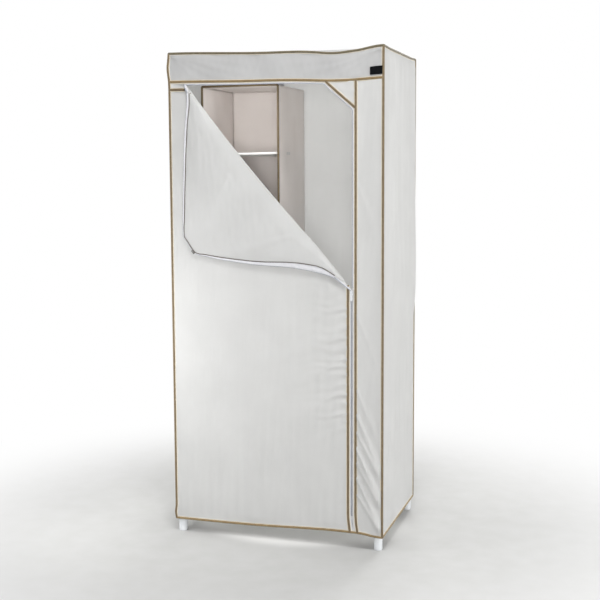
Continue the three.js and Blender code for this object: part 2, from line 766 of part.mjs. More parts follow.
const pullerWindow = new THREE.Path();
pullerWindow.moveTo(-windowHalf, windowTop);
pullerWindow.lineTo(windowHalf, windowTop);
pullerWindow.lineTo(windowHalf, windowTop - PULLER_WINDOW);
pullerWindow.lineTo(-windowHalf, windowTop - PULLER_WINDOW);
pullerWindow.closePath();
pullerOuter.holes.push(pullerWindow);
const pullerPlate = new THREE.ExtrudeGeometry(pullerOuter, {
  depth: PULLER_THICKNESS,
  bevelEnabled: false,
  curveSegments: PULLER_TIP_SIDES,
});
pullerPlate.rotateX(Math.PI / 2);
pullerPlate.translate(zipX, PULLER_THICKNESS / 2 - pullerDepth, SLIDER_HEIGHT);
place('zip_puller', pullerPlate, metal);

// Hanging shelf unit: a cloth case open at the front, held by two straps over the rail

const unitLeft = SHELF_UNIT_INSET - WIDTH / 2;
const unitRight = unitLeft + SHELF_UNIT_WIDTH;
const unitFront = -SHELF_UNIT_DEPTH / 2;
const unitBack = SHELF_UNIT_DEPTH / 2;
const unitTop = HEIGHT - SHELF_UNIT_DROP;
const firstShelf = unitTop - FIRST_SHELF_DROP;
const unitFloor = firstShelf - (SHELF_COUNT - 1) * SHELF_PITCH - SHELF_THICKNESS;

// Strap round the rail and down to the top of the unit, seen along X
function strap(middle) {
  const reach = boreRadius + STRAP_THICKNESS;
  const loop = new THREE.Shape().absarc(0, 0, reach, 0, 2 * Math.PI, false);
  loop.holes.push(new THREE.Path().absarc(0, 0, boreRadius, 0, 2 * Math.PI, true));
  const ring = new THREE.ExtrudeGeometry(loop, {
    depth: STRAP_WIDTH,
    bevelEnabled: false,
    curveSegments: STRAP_SIDES / 2,
  });
  ring.rotateY(Math.PI / 2).translate(middle - STRAP_WIDTH / 2, 0, topRailHeight);
  const tail = box(
    [middle - STRAP_WIDTH / 2, -STRAP_THICKNESS, unitTop - CLOTH],
    [middle + STRAP_WIDTH / 2, STRAP_THICKNESS, topRailHeight - boreRadius - STRAP_THICKNESS / 2],
  );
  return [ring, tail];
}

place('shelf_unit_case', toGeometry(union([
  box([unitLeft, unitFront, unitFloor], [unitLeft + CLOTH, unitBack, unitTop]),
  box([unitRight - CLOTH, unitFront, unitFloor], [unitRight, unitBack, unitTop]),
  box([unitLeft, unitBack - CLOTH, unitFloor], [unitRight, unitBack, unitTop]),
  box([unitLeft, unitFront, unitTop - CLOTH], [unitRight, unitBack, unitTop]),
  ...strap(unitLeft + STRAP_INSET + STRAP_WIDTH / 2),
  ...strap(unitRight - STRAP_INSET - STRAP_WIDTH / 2),
])), innerCloth);

for (let shelf = 0; shelf < SHELF_COUNT; shelf += 1) {
  const top = firstShelf - shelf * SHELF_PITCH;
  place(`shelf_${shelf + 1}`, box(
    [unitLeft + CLOTH + GAP, unitFront, top - SHELF_THICKNESS],
    [unitRight - CLOTH - GAP, unitBack - CLOTH - GAP, top],
  ), innerCloth);
}

// The flap reaches out in front, so the whole is moved to stand over its own middle
const reach = new THREE.Box3().setFromObject(wardrobe);
wardrobe.position.y = -(reach.min.y + reach.max.y) / 2;

export default wardrobe;
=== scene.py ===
import math
import random

import bpy
import numpy as np
from mathutils import Matrix, Vector


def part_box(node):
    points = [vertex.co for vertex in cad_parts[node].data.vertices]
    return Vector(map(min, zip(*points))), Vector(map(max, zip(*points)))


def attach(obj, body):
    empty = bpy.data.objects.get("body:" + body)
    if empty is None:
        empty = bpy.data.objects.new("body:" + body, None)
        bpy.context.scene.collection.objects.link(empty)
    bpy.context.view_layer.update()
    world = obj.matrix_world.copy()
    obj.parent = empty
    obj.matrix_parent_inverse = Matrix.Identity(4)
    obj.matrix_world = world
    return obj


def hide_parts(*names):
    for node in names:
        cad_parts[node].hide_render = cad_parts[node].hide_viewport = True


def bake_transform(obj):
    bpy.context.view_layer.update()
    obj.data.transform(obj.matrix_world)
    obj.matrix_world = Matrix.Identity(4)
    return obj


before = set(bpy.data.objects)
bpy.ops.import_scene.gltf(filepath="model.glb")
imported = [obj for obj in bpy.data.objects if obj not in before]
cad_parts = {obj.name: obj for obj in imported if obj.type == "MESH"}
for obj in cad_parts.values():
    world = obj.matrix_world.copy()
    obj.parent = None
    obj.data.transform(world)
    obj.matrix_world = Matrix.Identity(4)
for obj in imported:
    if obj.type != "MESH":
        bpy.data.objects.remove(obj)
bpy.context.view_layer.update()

# Units: metres, written as millimetres times MM
MM = 0.001
ROOT = "frame_and_cover"

# Sizes of the cover's seams and cloth
PIPING_RADIUS = 2.2 * MM
SEAM_ROOM = 2.5 * MM
SEAM_INSET = 1.2 * MM
CLOTH = 0.8 * MM
TAPE = 0.6 * MM
CELL = 6 * MM
COARSE_CELL = 9 * MM

# Seam planes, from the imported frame
cover_low, cover_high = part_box("piping_cover")
slider_low, slider_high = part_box("zip_slider")
LEFT, RIGHT = cover_low.x + PIPING_RADIUS, cover_high.x - PIPING_RADIUS
FRONT, BACK = cover_low.y + PIPING_RADIUS, cover_high.y - PIPING_RADIUS
HEM, TOP = cover_low.z + PIPING_RADIUS, cover_high.z - PIPING_RADIUS
VALANCE_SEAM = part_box("cover_valance")[0].z - SEAM_ROOM
JAMB_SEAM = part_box("cover_jamb")[0].x - SEAM_ROOM
DOOR_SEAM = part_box("piping_door")[0].x + PIPING_RADIUS
DOOR_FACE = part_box("cover_door")[0].y
ZIP_X = (slider_low.x + slider_high.x) / 2
SLIDER_TOP = slider_high.z
ZIP_START_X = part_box("zip_tape_jamb")[0].x
GUSSET_TOP_X = 171 * MM
GUSSET_FOOT_Z = 1411 * MM
WIDTH, DEPTH, HEIGHT = RIGHT - LEFT, BACK - FRONT, TOP - HEM

# How the cover settles on the frame: its seams sag and bow between the corners
TOP_SAG = 9 * MM
TOP_DIP, TOP_DIP_SHARE, TOP_DIP_SPREAD_SHARE = 9 * MM, 0.78, 0.1
SIDE_SAG = 2 * MM
BACK_SAG = 8 * MM
VALANCE_RISE, VALANCE_DIP = 4 * MM, 7 * MM
VALANCE_DIP_SHARE, VALANCE_DIP_SPREAD_SHARE = 0.8, 0.17
VALANCE_REACH = 120 * MM
HEM_LIFT, HEM_LIFT_X, HEM_LIFT_WIDTH = 9 * MM, 200 * MM, 200 * MM
HEM_REACH = 260 * MM
BULGE, BULGE_Z, BULGE_SPREAD = 5 * MM, 1548 * MM, 32 * MM
KINK, KINK_Z, KINK_SPREAD = 3 * MM, 68 * MM, 14 * MM
LEAN, LEAN_TOP, LEAN_SPREAD = 7 * MM, 118 * MM, 60 * MM
FRONT_REACH = 60 * MM
FLANK_REACH = 20 * MM
CORNER_REACH = 85 * MM


def fade(distance, reach):
    """0 at an edge, rising smoothly to 1 at that reach."""
    t = np.clip(distance / reach, 0, 1)
    return t * t * (3 - 2 * t)


def hump(value, centre, spread):
    """1 at the centre, falling smoothly to 0 a few spreads away."""
    return np.exp(-((value - centre) / spread) ** 2)


def top_front_sag(x):
    share = (x - LEFT) / WIDTH
    dip = TOP_DIP * hump(share, TOP_DIP_SHARE, TOP_DIP_SPREAD_SHARE)
    return (TOP_SAG * fade(share, 0.5) + dip) * fade(1 - share, 0.12)


def top_side_sag(y):
    return SIDE_SAG * fade(np.minimum(y - FRONT, BACK - y), CORNER_REACH)


def top_back_sag(x):
    return BACK_SAG * fade(np.minimum(x - LEFT, RIGHT - x), 2 * CORNER_REACH)


def valance_bow(x):
    share = (x - LEFT) / WIDTH
    dip = hump(share, VALANCE_DIP_SHARE, VALANCE_DIP_SPREAD_SHARE)
    return VALANCE_RISE * (1 - fade(share, 0.4)) - VALANCE_DIP * dip


def hem_lift(x):
    return HEM_LIFT * hump(x, HEM_LIFT_X, HEM_LIFT_WIDTH) * fade(RIGHT - x, CORNER_REACH)


def settle(points):
    """Moves the flat layout of the cover to where its cloth hangs."""
    points = np.array(points, float)
    x, y, z = points.T.copy()
    front = 1 - fade(y - FRONT, FRONT_REACH)
    back = 1 - fade(BACK - y, FRONT_REACH)
    flank = 1 - fade(np.minimum(x - LEFT, RIGHT - x), FLANK_REACH)
    over = np.clip((z - VALANCE_SEAM) / (TOP - VALANCE_SEAM), 0, 1)
    beneath = 1 - fade(VALANCE_SEAM - z, VALANCE_REACH)
    low = 1 - fade(z - HEM, HEM_REACH)
    drop = top_front_sag(x) * over * front + top_back_sag(x) * over * back
    drop += top_side_sag(y) * over * flank
    bow = valance_bow(x) * np.where(z > VALANCE_SEAM, 1 - over, beneath)
    points[:, 2] += bow * front + hem_lift(x) * low * front - drop
    left_corner = (1 - fade(x - LEFT, FRONT_REACH)) * front
    bulge = BULGE * hump(z, BULGE_Z, BULGE_SPREAD) + KINK * hump(z, KINK_Z, KINK_SPREAD)
    leaning = np.clip((LEAN_TOP - z) / (LEAN_TOP - HEM), 0, 1) ** 2
    points[:, 0] += LEAN * leaning * hump(x, ZIP_X, LEAN_SPREAD) * front - bulge * left_corner
    return points


# Mesh helpers

def middle_of(name):
    low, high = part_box(name)
    return (low + high) / 2


def unit(vectors):
    return vectors / np.linalg.norm(vectors, axis=-1, keepdims=True)


def add_object(name, data):
    thing = bpy.data.objects.new(name, data)
    bpy.context.scene.collection.objects.link(thing)
    return thing


def add_mesh(name, points, faces, flat_faces=0, materials=(), settled=True):
    """A new object. Its last faces are flat-shaded, as many as flat_faces says."""
    if settled:
        points = settle(points)
    mesh = bpy.data.meshes.new(name)
    mesh.from_pydata([tuple(p) for p in points], [], [tuple(f) for f in faces])
    smooth = np.ones(len(faces), bool)
    smooth[len(faces) - flat_faces:] = False
    mesh.polygons.foreach_set("use_smooth", smooth)
    mesh.update()
    for material in materials:
        mesh.materials.append(material)
    return add_object(name, mesh)


def sew(piece, body, slot, *nodes):
    """Puts a piece on its body and hides the frame's nodes that it stands for. The slot is not used."""
    if nodes:
        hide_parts(*nodes)
    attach(piece, body)
    return piece


def shares(width, height, cell):
    """Places across and up a sheet, both from 0 to 1 and about one cell apart."""
    counts = [max(2, round(size / cell)) + 1 for size in (width, height)]
    return np.meshgrid(*(np.linspace(0, 1, count) for count in counts))


def sheet_mesh(name, grid, thickness, material, settled=True):
    """A closed thin sheet round a grid of points (rows, columns, 3)."""
    rows, columns = grid.shape[:2]
    normal = np.cross(np.gradient(grid, axis=1), np.gradient(grid, axis=0))
    length = np.maximum(np.linalg.norm(normal, axis=2, keepdims=True), 1e-12)
    shift = normal / length * thickness / 2
    points = np.concatenate([(grid + shift).reshape(-1, 3), (grid - shift).reshape(-1, 3)])
    count = rows * columns
    index = np.arange(count).reshape(rows, columns)
    a, b = index[:-1, :-1].ravel(), index[:-1, 1:].ravel()
    c, d = index[1:, 1:].ravel(), index[1:, :-1].ravel()
    front = np.stack([a, b, c, d], 1)
    back = np.stack([a, d, c, b], 1) + count
    rim = np.concatenate([index[0, :], index[1:, -1], index[-1, -2::-1], index[-2:0:-1, 0]])
    after = np.roll(rim, -1)
    edge = np.stack([rim, rim + count, after + count, after], 1)
    faces = np.concatenate([front, back, edge])
    return add_mesh(name, points, faces.tolist(), len(edge), [material], settled)


def prism_faces(rings, sides):
    """Faces between rings of points that follow each other, and a cap at either end."""
    faces = []
    for here in range(0, (rings - 1) * sides, sides):
        for k in range(sides):
            m = (k + 1) % sides
            faces.append((here + k, here + m, here + sides + m, here + sides + k))
    last = (rings - 1) * sides
    return faces + [tuple(range(sides - 1, -1, -1)), tuple(range(last, last + sides))]


def tube_parts(path, radius, sides):
    """Rings of points along a path, with the faces between them."""
    ahead = unit(np.gradient(path, axis=0))
    side = np.cross(ahead[0], (0.31, 0.62, 0.72))
    turn = np.arange(sides)[:, None] * 2 * math.pi / sides
    rings = []
    for centre, direction in zip(path, ahead):
        side = unit(side - direction * np.dot(side, direction))
        other = np.cross(direction, side)
        rings.append(centre + radius * (np.cos(turn) * side + np.sin(turn) * other))
    return np.concatenate(rings), prism_faces(len(path), sides)


def tube_mesh(name, path, radius, sides, material):
    points, faces = tube_parts(path, radius, sides)
    return add_mesh(name, points, faces, 2, [material])


def joined(parts):
    """Several (points, faces) pairs as one."""
    points, faces, start = [], [], 0
    for some_points, some_faces in parts:
        points.append(some_points)
        faces += [tuple(v + start for v in face) for face in some_faces]
        start += len(some_points)
    return np.concatenate(points), faces


def blocks(centres, along, across, out, sizes, chamfer_share=0.3):
    """Small chamfered blocks: one per centre, each with its own three directions."""
    half = np.array(sizes) / 2
    narrow = 1 - chamfer_share
    rings = ((-1, narrow), (-narrow, 1), (narrow, 1), (1, narrow))
    parts = []
    for centre, a, b, c in zip(centres, along, across, out):
        points = []
        for end, shrink in rings:
            for s, t in ((-1, -1), (1, -1), (1, 1), (-1, 1)):
                points.append(centre + a * half[0] * end + b * half[1] * s * shrink
                              + c * half[2] * t * shrink)
        parts.append((np.array(points), prism_faces(len(rings), 4)))
    return joined(parts)


def slack(x, z, count, shortest, longest, stretch, seed):
    """Smooth irregular waves between -1 and 1. A stretch over 1 makes them run along z."""
    pick = random.Random(seed)
    total = np.zeros_like(x)
    for _ in range(count):
        length = shortest * (longest / shortest) ** pick.random()
        angle = pick.uniform(-0.5, 0.5) * math.pi
        kx = 2 * math.pi * math.cos(angle) / length
        kz = 2 * math.pi * math.sin(angle) / (length * stretch)
        total += np.sin(kx * x + kz * z + pick.uniform(0, 2 * math.pi))
    return total / math.sqrt(count) / 1.4


def slack_sum(x, z, rows, seed):
    """Slack patterns added up. Each row: height, count, shortest and longest in mm, stretch."""
    total = 0
    for number, (height, count, shortest, longest, stretch) in enumerate(rows):
        pattern = slack(x, z, count, shortest * MM, longest * MM, stretch, seed + number)
        total = total + height * MM * pattern
    return total


def crease(x, z, start, end, width, height, ending=0.4):
    """A soft ridge along a line, highest at its start. ending = the share of it left at the end."""
    line = np.array(end) - np.array(start)
    length = np.linalg.norm(line)
    line = line / length
    along = (x - start[0]) * line[0] + (z - start[1]) * line[1]
    aside = (x - start[0]) * line[1] - (z - start[1]) * line[0]
    share = np.clip(along / length, 0, 1)
    beyond = np.where(along < 0, along, np.where(along > length, along - length, 0))
    spread = width * (0.5 + share)
    return height * np.exp(-(aside ** 2 + beyond ** 2) / spread ** 2) * (1 - (1 - ending) * share)


def crease_sum(x, z, rows, ending=0.4):
    """Creases added up. Each row: start x, start z, end x, end z, width and height, all in mm."""
    total = 0
    for start_x, start_z, end_x, end_z, width, height in np.array(rows) * MM:
        total = total + crease(x, z, (start_x, start_z), (end_x, end_z), width, height, ending)
    return total


# Materials

WHITE = (1, 1, 1, 1)


def fill(tree, target, inputs):
    """Sets a node's sockets by value, or links them where the value is a socket."""
    for name, value in inputs.items():
        if isinstance(value, bpy.types.NodeSocket):
            tree.links.new(value, target.inputs[name])
        elif value is not None:
            target.inputs[name].default_value = value


def node(tree, kind, inputs=None, **settings):
    """A new shader node, with its settings and what goes into its sockets."""
    made = tree.nodes.new("ShaderNode" + kind)
    for name, value in settings.items():
        setattr(made, name, value)
    fill(tree, made, inputs or {})
    return made


def new_material(name):
    material = bpy.data.materials.new(name)
    material.use_nodes = True
    tree = material.node_tree
    return material, tree, tree.nodes["Principled BSDF"], node(tree, "TexCoord").outputs["Object"]


def srgb(red, green, blue):
    def linear(value):
        value /= 255
        return value / 12.92 if value <= 0.04045 else ((value + 0.055) / 1.055) ** 2.4
    return linear(red), linear(green), linear(blue), 1


def noise(tree, vector, scale, detail=2.0, stretch=(1, 1, 1)):
    mapping = node(tree, "Mapping", {"Vector": vector, "Scale": stretch})
    inputs = {"Vector": mapping.outputs["Vector"], "Scale": scale, "Detail": detail}
    return node(tree, "TexNoise", inputs).outputs["Fac"]


def ramp(tree, factor, first_stop, last_stop):
    made = node(tree, "ValToRGB", {"Fac": factor})
    for element, (position, colour) in zip(made.color_ramp.elements, (first_stop, last_stop)):
        element.position, element.color = position, colour
    return made.outputs["Color"]


def bump(tree, height, distance, strength, below=None):
    inputs = {"Height": height, "Distance": distance, "Strength": strength, "Normal": below}
    return node(tree, "Bump", inputs).outputs["Normal"]


def math_node(tree, operation, *values):
    return node(tree, "Math", dict(enumerate(values)), operation=operation).outputs[0]


def surface_mix(tree, factor, first, second, output="Material Output"):
    both = node(tree, "MixShader", {"Fac": factor, 1: first, 2: second})
    fill(tree, tree.nodes[output], {"Surface": both.outputs["Shader"]})


DOT_PITCH = 1.3 * MM
# A wave texture's scale times the pitch of its ribs
RIB_SCALE = 0.314


def cloth_material(name, light, dark, through):
    """Non-woven cloth: pressed dots, faint fibres, light that passes through."""
    material, tree, shader, place = new_material(name)
    patches = noise(tree, place, 9, 4.0)
    fibres = noise(tree, place, 900, 3.0, (1, 1, 0.35))
    mixed = math_node(tree, "MULTIPLY_ADD", fibres, 0.35, patches)
    colour = ramp(tree, mixed, (0.35, srgb(*dark)), (0.95, srgb(*light)))
    dots = node(tree, "TexVoronoi", {"Vector": place, "Scale": 1 / DOT_PITCH, "Randomness": 0.15})
    pressed = bump(tree, dots.outputs["Distance"], 0.12 * MM, 0.35)
    rough = bump(tree, fibres, 0.25 * MM, 0.4, pressed)
    streaks = noise(tree, place, 60, 3.0, (1, 1, 0.08))
    normal = bump(tree, streaks, 0.8 * MM, 0.3, rough)
    fill(tree, shader, {"Base Color": colour, "Roughness": 0.85, "Specular IOR Level": 0.25,
                        "Sheen Weight": 0.08, "Normal": normal})
    passing = node(tree, "BsdfTranslucent", {"Color": colour, "Normal": normal})
    surface_mix(tree, through, shader.outputs["BSDF"], passing.outputs["BSDF"])
    return material


def twill_material(name, light, dark, pitch, shine=0.25, sheen=0.15):
    """Woven tape: fine slanting ribs and uneven dye."""
    material, tree, shader, place = new_material(name)
    wave = {"Vector": place, "Scale": RIB_SCALE / pitch, "Distortion": 0.6, "Detail": 2}
    ribs = node(tree, "TexWave", wave, bands_direction="DIAGONAL").outputs["Fac"]
    dyed = math_node(tree, "MULTIPLY_ADD", ribs, 0.3, noise(tree, place, 70, 4.0))
    colour = ramp(tree, dyed, (0.35, srgb(*dark)), (0.95, srgb(*light)))
    fill(tree, shader, {"Base Color": colour, "Roughness": 0.8, "Specular IOR Level": shine,
                        "Sheen Weight": sheen, "Normal": bump(tree, ribs, 0.25 * MM, 0.6)})
    return material


def plastic_material(name, light, dark, roughness, grain=260):
    material, tree, shader, place = new_material(name)
    colour = ramp(tree, noise(tree, place, 30, 3.0), (0.3, srgb(*dark)), (0.75, srgb(*light)))
    fine = noise(tree, place, grain, 2.0)
    fill(tree, shader, {"Base Color": colour, "Roughness": roughness,
                        "Normal": bump(tree, fine, 0.08 * MM, 0.3)})
    return material


def metal_material(name, light, dark, roughness):
    """Metal whose darker patches are also rougher. Its colours are linear."""
    material, tree, shader, place = new_material(name)
    patches = noise(tree, place, 180, 4.0)
    worn = ramp(tree, patches, (0.3, (roughness + 0.15,) * 3 + (1,)), (0.7, (roughness,) * 3 + (1,)))
    fill(tree, shader, {"Base Color": ramp(tree, patches, (0.3, dark), (0.7, light)), "Metallic": 1.0,
                        "Roughness": worn, "Normal": bump(tree, patches, 0.05 * MM, 0.3)})
    return material


cover_cloth = cloth_material("cover_cloth_look", (225, 225, 224), (219, 219, 218), 0.46)
# The valance's look is a darker copy of the cover cloth: painted shade, as the valance is the same cloth as
# the rest of the cover
valance_shaded_cloth = cloth_material("valance_painted_shade_look", (203, 203, 203), (192, 192, 192), 0.34)
# A darker copy of the cover cloth for the door flap's inner face: painted shade, as both faces are the same
# cloth
flap_inner_shaded_cloth = cloth_material("flap_inner_painted_shade_look", (212, 212, 211), (203, 203, 202), 0.3)
unit_cloth = cloth_material("unit_cloth_look", (252, 247, 244), (243, 237, 233), 0.3)
board_cloth = cloth_material("board_cloth_look", (236, 235, 233), (222, 220, 217), 0.12)
brown_piping = twill_material("brown_piping_look", (120, 105, 82), (98, 84, 62), 0.9 * MM)
# A lighter copy of the brown piping for the hem and valance seams: painted light, as the piping is the same
# tape all round
lit_level_piping = twill_material("level_piping_painted_light_look", (140, 121, 88), (116, 98, 68), 0.9 * MM)
dark_piping = twill_material("dark_piping_look", (114, 106, 86), (90, 82, 64), 0.9 * MM)
cream_edging = twill_material("cream_edging_look", (218, 210, 194), (207, 198, 181), 0.7 * MM)
# The seam binding's dark grey is partly the binding's own colour and partly painted shadow along the seam
seam_binding_and_shade = twill_material("seam_binding_and_painted_shade_look", (112, 107, 102), (90, 86, 82), 0.7 * MM)
dark_thread = twill_material("dark_thread_look", (84, 80, 76), (62, 58, 54), 0.5 * MM)
white_tape = twill_material("white_tape_look", (218, 218, 222), (205, 205, 210), 0.6 * MM)
# A darker copy of the white tape for where the zip is closed: painted shade, as it is the same tape
shaded_closed_tape = twill_material("closed_tape_painted_shade_look", (206, 206, 207), (194, 194, 196), 0.6 * MM)
blank_tab = twill_material("blank_tab_look", (18, 19, 21), (10, 11, 12), 0.5 * MM, 0.05, 0)
grey_teeth = plastic_material("grey_teeth_look", (160, 163, 172), (136, 140, 150), 0.4)
white_plastic = plastic_material("white_plastic_look", (218, 220, 222), (204, 207, 210), 0.45)
coated_steel = plastic_material("coated_steel_look", (205, 208, 211), (188, 191, 195), 0.32, 90)
zip_metal = metal_material("zip_metal_look", (0.75, 0.76, 0.78, 1), (0.55, 0.56, 0.58, 1), 0.28)


# Cover panels. Each takes its height from two seam lines and its waves from slack and creases

def panel(name, cad_node, start, end, plane, side, waves, cell,
          bottom=HEM, top=TOP, reach=45 * MM, material=cover_cloth, flank=False):
    """A standing panel from seam to seam on a plane. side = the outward sign. Flanks run along Y."""
    first, last = start + SEAM_INSET, end - SEAM_INSET
    s, z = shares(last - first, top - bottom, cell)
    s, z = first + (last - first) * s, bottom + (top - bottom) * z
    edge = np.minimum.reduce([s - first, last - s, z - bottom, top - z])
    across = plane + waves(s, z) * fade(edge, reach) * side
    grid = np.stack([across, s, z] if flank else [s, across, z], 2)
    if flank == (side < 0):
        grid = grid[:, ::-1]
    piece = sew(sheet_mesh(name, grid, CLOTH, material), ROOT, "cover_cloth", cad_node)
    return piece


SIDE_SLACK = ((3.2, 5, 160, 420, 3.5), (2.4, 9, 26, 70, 14), (0.45, 8, 10, 20, 18))
BACK_SLACK = ((3.5, 5, 180, 450, 3), (0.9, 9, 24, 70, 12))
SIDE_BELLY, BACK_BELLY = 4.5 * MM, 3 * MM
SWELL, SWELL_PLACE, SWELL_SPREAD = 9 * MM, 40 * MM, 30 * MM
SWELL_LOW, SWELL_RISE = 640 * MM, 200 * MM


def belly(z, depth):
    """The cover stands out between hem and top."""
    return depth * np.sin(math.pi * (z - HEM) / HEIGHT)


def left_side_waves(y, z):
    return slack_sum(y, z, SIDE_SLACK, 11) + belly(z, SIDE_BELLY)


def right_side_waves(y, z):
    """The right side also swells beside its back seam, over its upper half."""
    swell = SWELL * hump(BACK - y, SWELL_PLACE, SWELL_SPREAD) * fade(z - SWELL_LOW, SWELL_RISE)
    return slack_sum(y, z, SIDE_SLACK, 21) + belly(z, SIDE_BELLY) + swell


def back_waves(x, z):
    return slack_sum(x, z, BACK_SLACK, 31) + belly(z, BACK_BELLY)


panel("left_side_cloth", "cover_left_side", FRONT, BACK, LEFT, -1, left_side_waves, COARSE_CELL, flank=True)
panel("right_side_cloth", "cover_right_side", FRONT, BACK, RIGHT, 1, right_side_waves, CELL, flank=True)
panel("back_cloth", "cover_back", LEFT, RIGHT, BACK, 1, back_waves, COARSE_CELL)

VALANCE_SLACK = ((2.0, 6, 70, 220, 1.2), (0.5, 8, 14, 36, 3))
# Creases that fan out from either corner: run, drop and height in mm
VALANCE_CREASES = ((250, 62, 2.2), (170, 80, 1.8), (95, 84, 1.6), (320, 34, 1.4))
FAN_INSET, FAN_DROP, FAN_WIDTH = 12 * MM, 8 * MM, 9 * MM


def valance_waves(x, z):
    waves = slack_sum(x, z, VALANCE_SLACK, 41)
    high = TOP - FAN_DROP
    for corner, sign in ((LEFT, 1), (RIGHT, -1)):
        for run, drop, height in VALANCE_CREASES:
            start = (corner + sign * FAN_INSET, high)
            end = (corner + sign * run * MM, high - drop * MM)
            waves = waves + crease(x, z, start, end, FAN_WIDTH, height * MM)
    return waves


# The valance is drawn in the darker copy of the cover cloth, which is painted shade
panel("valance_shaded_cloth", "cover_valance", LEFT, RIGHT, FRONT, -1, valance_waves, 5 * MM,
      VALANCE_SEAM, TOP, 14 * MM, valance_shaded_cloth)

JAMB_SLACK = ((1.6, 6, 50, 150, 3), (0.5, 8, 12, 30, 8))
# Slanting creases from seam to seam: start height, drop, width and height in mm
JAMB_CREASES = (
    (520, 170, 8, 3), (440, 172, 8, 7), (384, 138, 6.5, 7), (332, 160, 9, 10), (284, 132, 6.5, 7),
    (232, 150, 8.5, 9), (176, 104, 7, 6), (760, 180, 10, 2), (1180, 200, 11, 2),
)
JAMB_CREASE_ENDING = 0.7


def jamb_waves(x, z):
    start_x, end_x = JAMB_SEAM / MM + 6, RIGHT / MM - 10
    rows = [(start_x, start, end_x, start - drop, width, height)
            for start, drop, width, height in JAMB_CREASES]
    return slack_sum(x, z, JAMB_SLACK, 51) + crease_sum(x, z, rows, JAMB_CREASE_ENDING)


panel("jamb_cloth", "cover_jamb", JAMB_SEAM, RIGHT, FRONT, -1, jamb_waves, 3.5 * MM,
      HEM, VALANCE_SEAM, 8 * MM)

# Top: it sags between the rails, lies over the tubes and drops to the seams at its rim
RAIL_CLEARANCE = 1.4 * MM
RAIL_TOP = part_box("top_rail_front")[1].z
RAIL_REACH = 30 * MM
TOP_CENTRE_SAG = 9 * MM
SAG_START, SAG_REACH, SAG_FROM_RAIL = 20 * MM, 120 * MM, 90 * MM
SLACK_START, SLACK_REACH = 24 * MM, 60 * MM
TOP_CELL = 5 * MM
TOP_SLACK = ((1.2, 7, 60, 220, 1),)
LIFT = 1.6 * MM
STRAP_ROOM = 2.2 * MM
CAP_RADIUS, CAP_DROP = 15 * MM, 4 * MM


def lying_tubes():
    """Tubes and sleeves under the top: (axis, middle line, from, to, radius)."""
    tee_low, tee_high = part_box("rail_tee_left")
    sleeve = (tee_high.z - tee_low.z) / 2
    hanging = middle_of("hanging_rail")
    rows = []
    for name, room in (("top_rail_front", 0), ("top_rail_back", 0), ("hanging_rail", STRAP_ROOM)):
        low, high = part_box(name)
        rows.append((0, middle_of(name).y, low.x, high.x, (high.z - low.z) / 2 + room))
    for side in ("left", "right"):
        line_x = middle_of(f"top_rail_{side}_front").x
        rows.append((1, line_x, FRONT, BACK, RAIL_TOP - hanging.z))
        sleeves = [(f"rail_tee_{side}", hanging.y)]
        for end in ("front", "back"):
            sleeves.append((f"top_joint_{end}_{side}", middle_of(f"top_rail_{end}").y))
        for name, line_y in sleeves:
            low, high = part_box(name)
            rows.append((0, line_y, low.x, high.x, sleeve))
            rows.append((1, line_x, low.y, high.y, sleeve))
    return rows


def clear_height(x, y):
    """The lowest height at which the top clears the tubes, their sleeves and the joints' caps."""
    axis_z = middle_of("hanging_rail").z
    height = np.zeros_like(x)
    for axis, centre, start, end, radius in lying_tubes():
        along, aside = (x, y - centre) if axis == 0 else (y, x - centre)
        over = axis_z + np.sqrt(np.clip((radius + LIFT) ** 2 - aside ** 2, 0, None))
        inside = (along > start - LIFT) & (along < end + LIFT)
        height = np.where(inside, np.maximum(height, over), height)
    for side in ("left", "right"):
        for end in ("front", "back"):
            post = middle_of(f"upper_post_{end}_{side}")
            away = np.hypot(x - post.x, y - post.y) / CAP_RADIUS
            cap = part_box(f"top_joint_{end}_{side}")[1].z + LIFT - CAP_DROP * away ** 2
            height = np.where(away < 1, np.maximum(height, cap), height)
    return height


def top_sheet():
    x, y = shares(WIDTH, DEPTH, TOP_CELL)
    x = LEFT + SEAM_INSET + (WIDTH - 2 * SEAM_INSET) * x
    y = FRONT + SEAM_INSET + (DEPTH - 2 * SEAM_INSET) * y
    edges = [x - LEFT, RIGHT - x, y - FRONT, BACK - y]
    sags = [top_side_sag(y), top_side_sag(y), top_front_sag(x), top_back_sag(x)]
    weights = [1 / np.maximum(edge, 0.5 * MM) ** 2 for edge in edges]
    rim = sum(weight * (TOP - sag) for weight, sag in zip(weights, sags)) / sum(weights)
    near = np.minimum.reduce(edges)
    from_rail = np.abs(y - (FRONT + BACK) / 2)
    tented = RAIL_TOP + RAIL_CLEARANCE + CLOTH
    tented = tented - TOP_CENTRE_SAG * fade(near - SAG_START, SAG_REACH) * fade(from_rail, SAG_FROM_RAIL)
    tented = tented + slack_sum(x, y, TOP_SLACK, 61) * fade(near - SLACK_START, SLACK_REACH)
    z = rim + (tented - rim) * fade(near, RAIL_REACH)
    return np.stack([x, y, np.maximum(z, clear_height(x, y))], 2)


top_cloth = sheet_mesh("top_cloth", top_sheet(), CLOTH, cover_cloth, settled=False)
sew(top_cloth, ROOT, "cover_cloth", "cover_top")

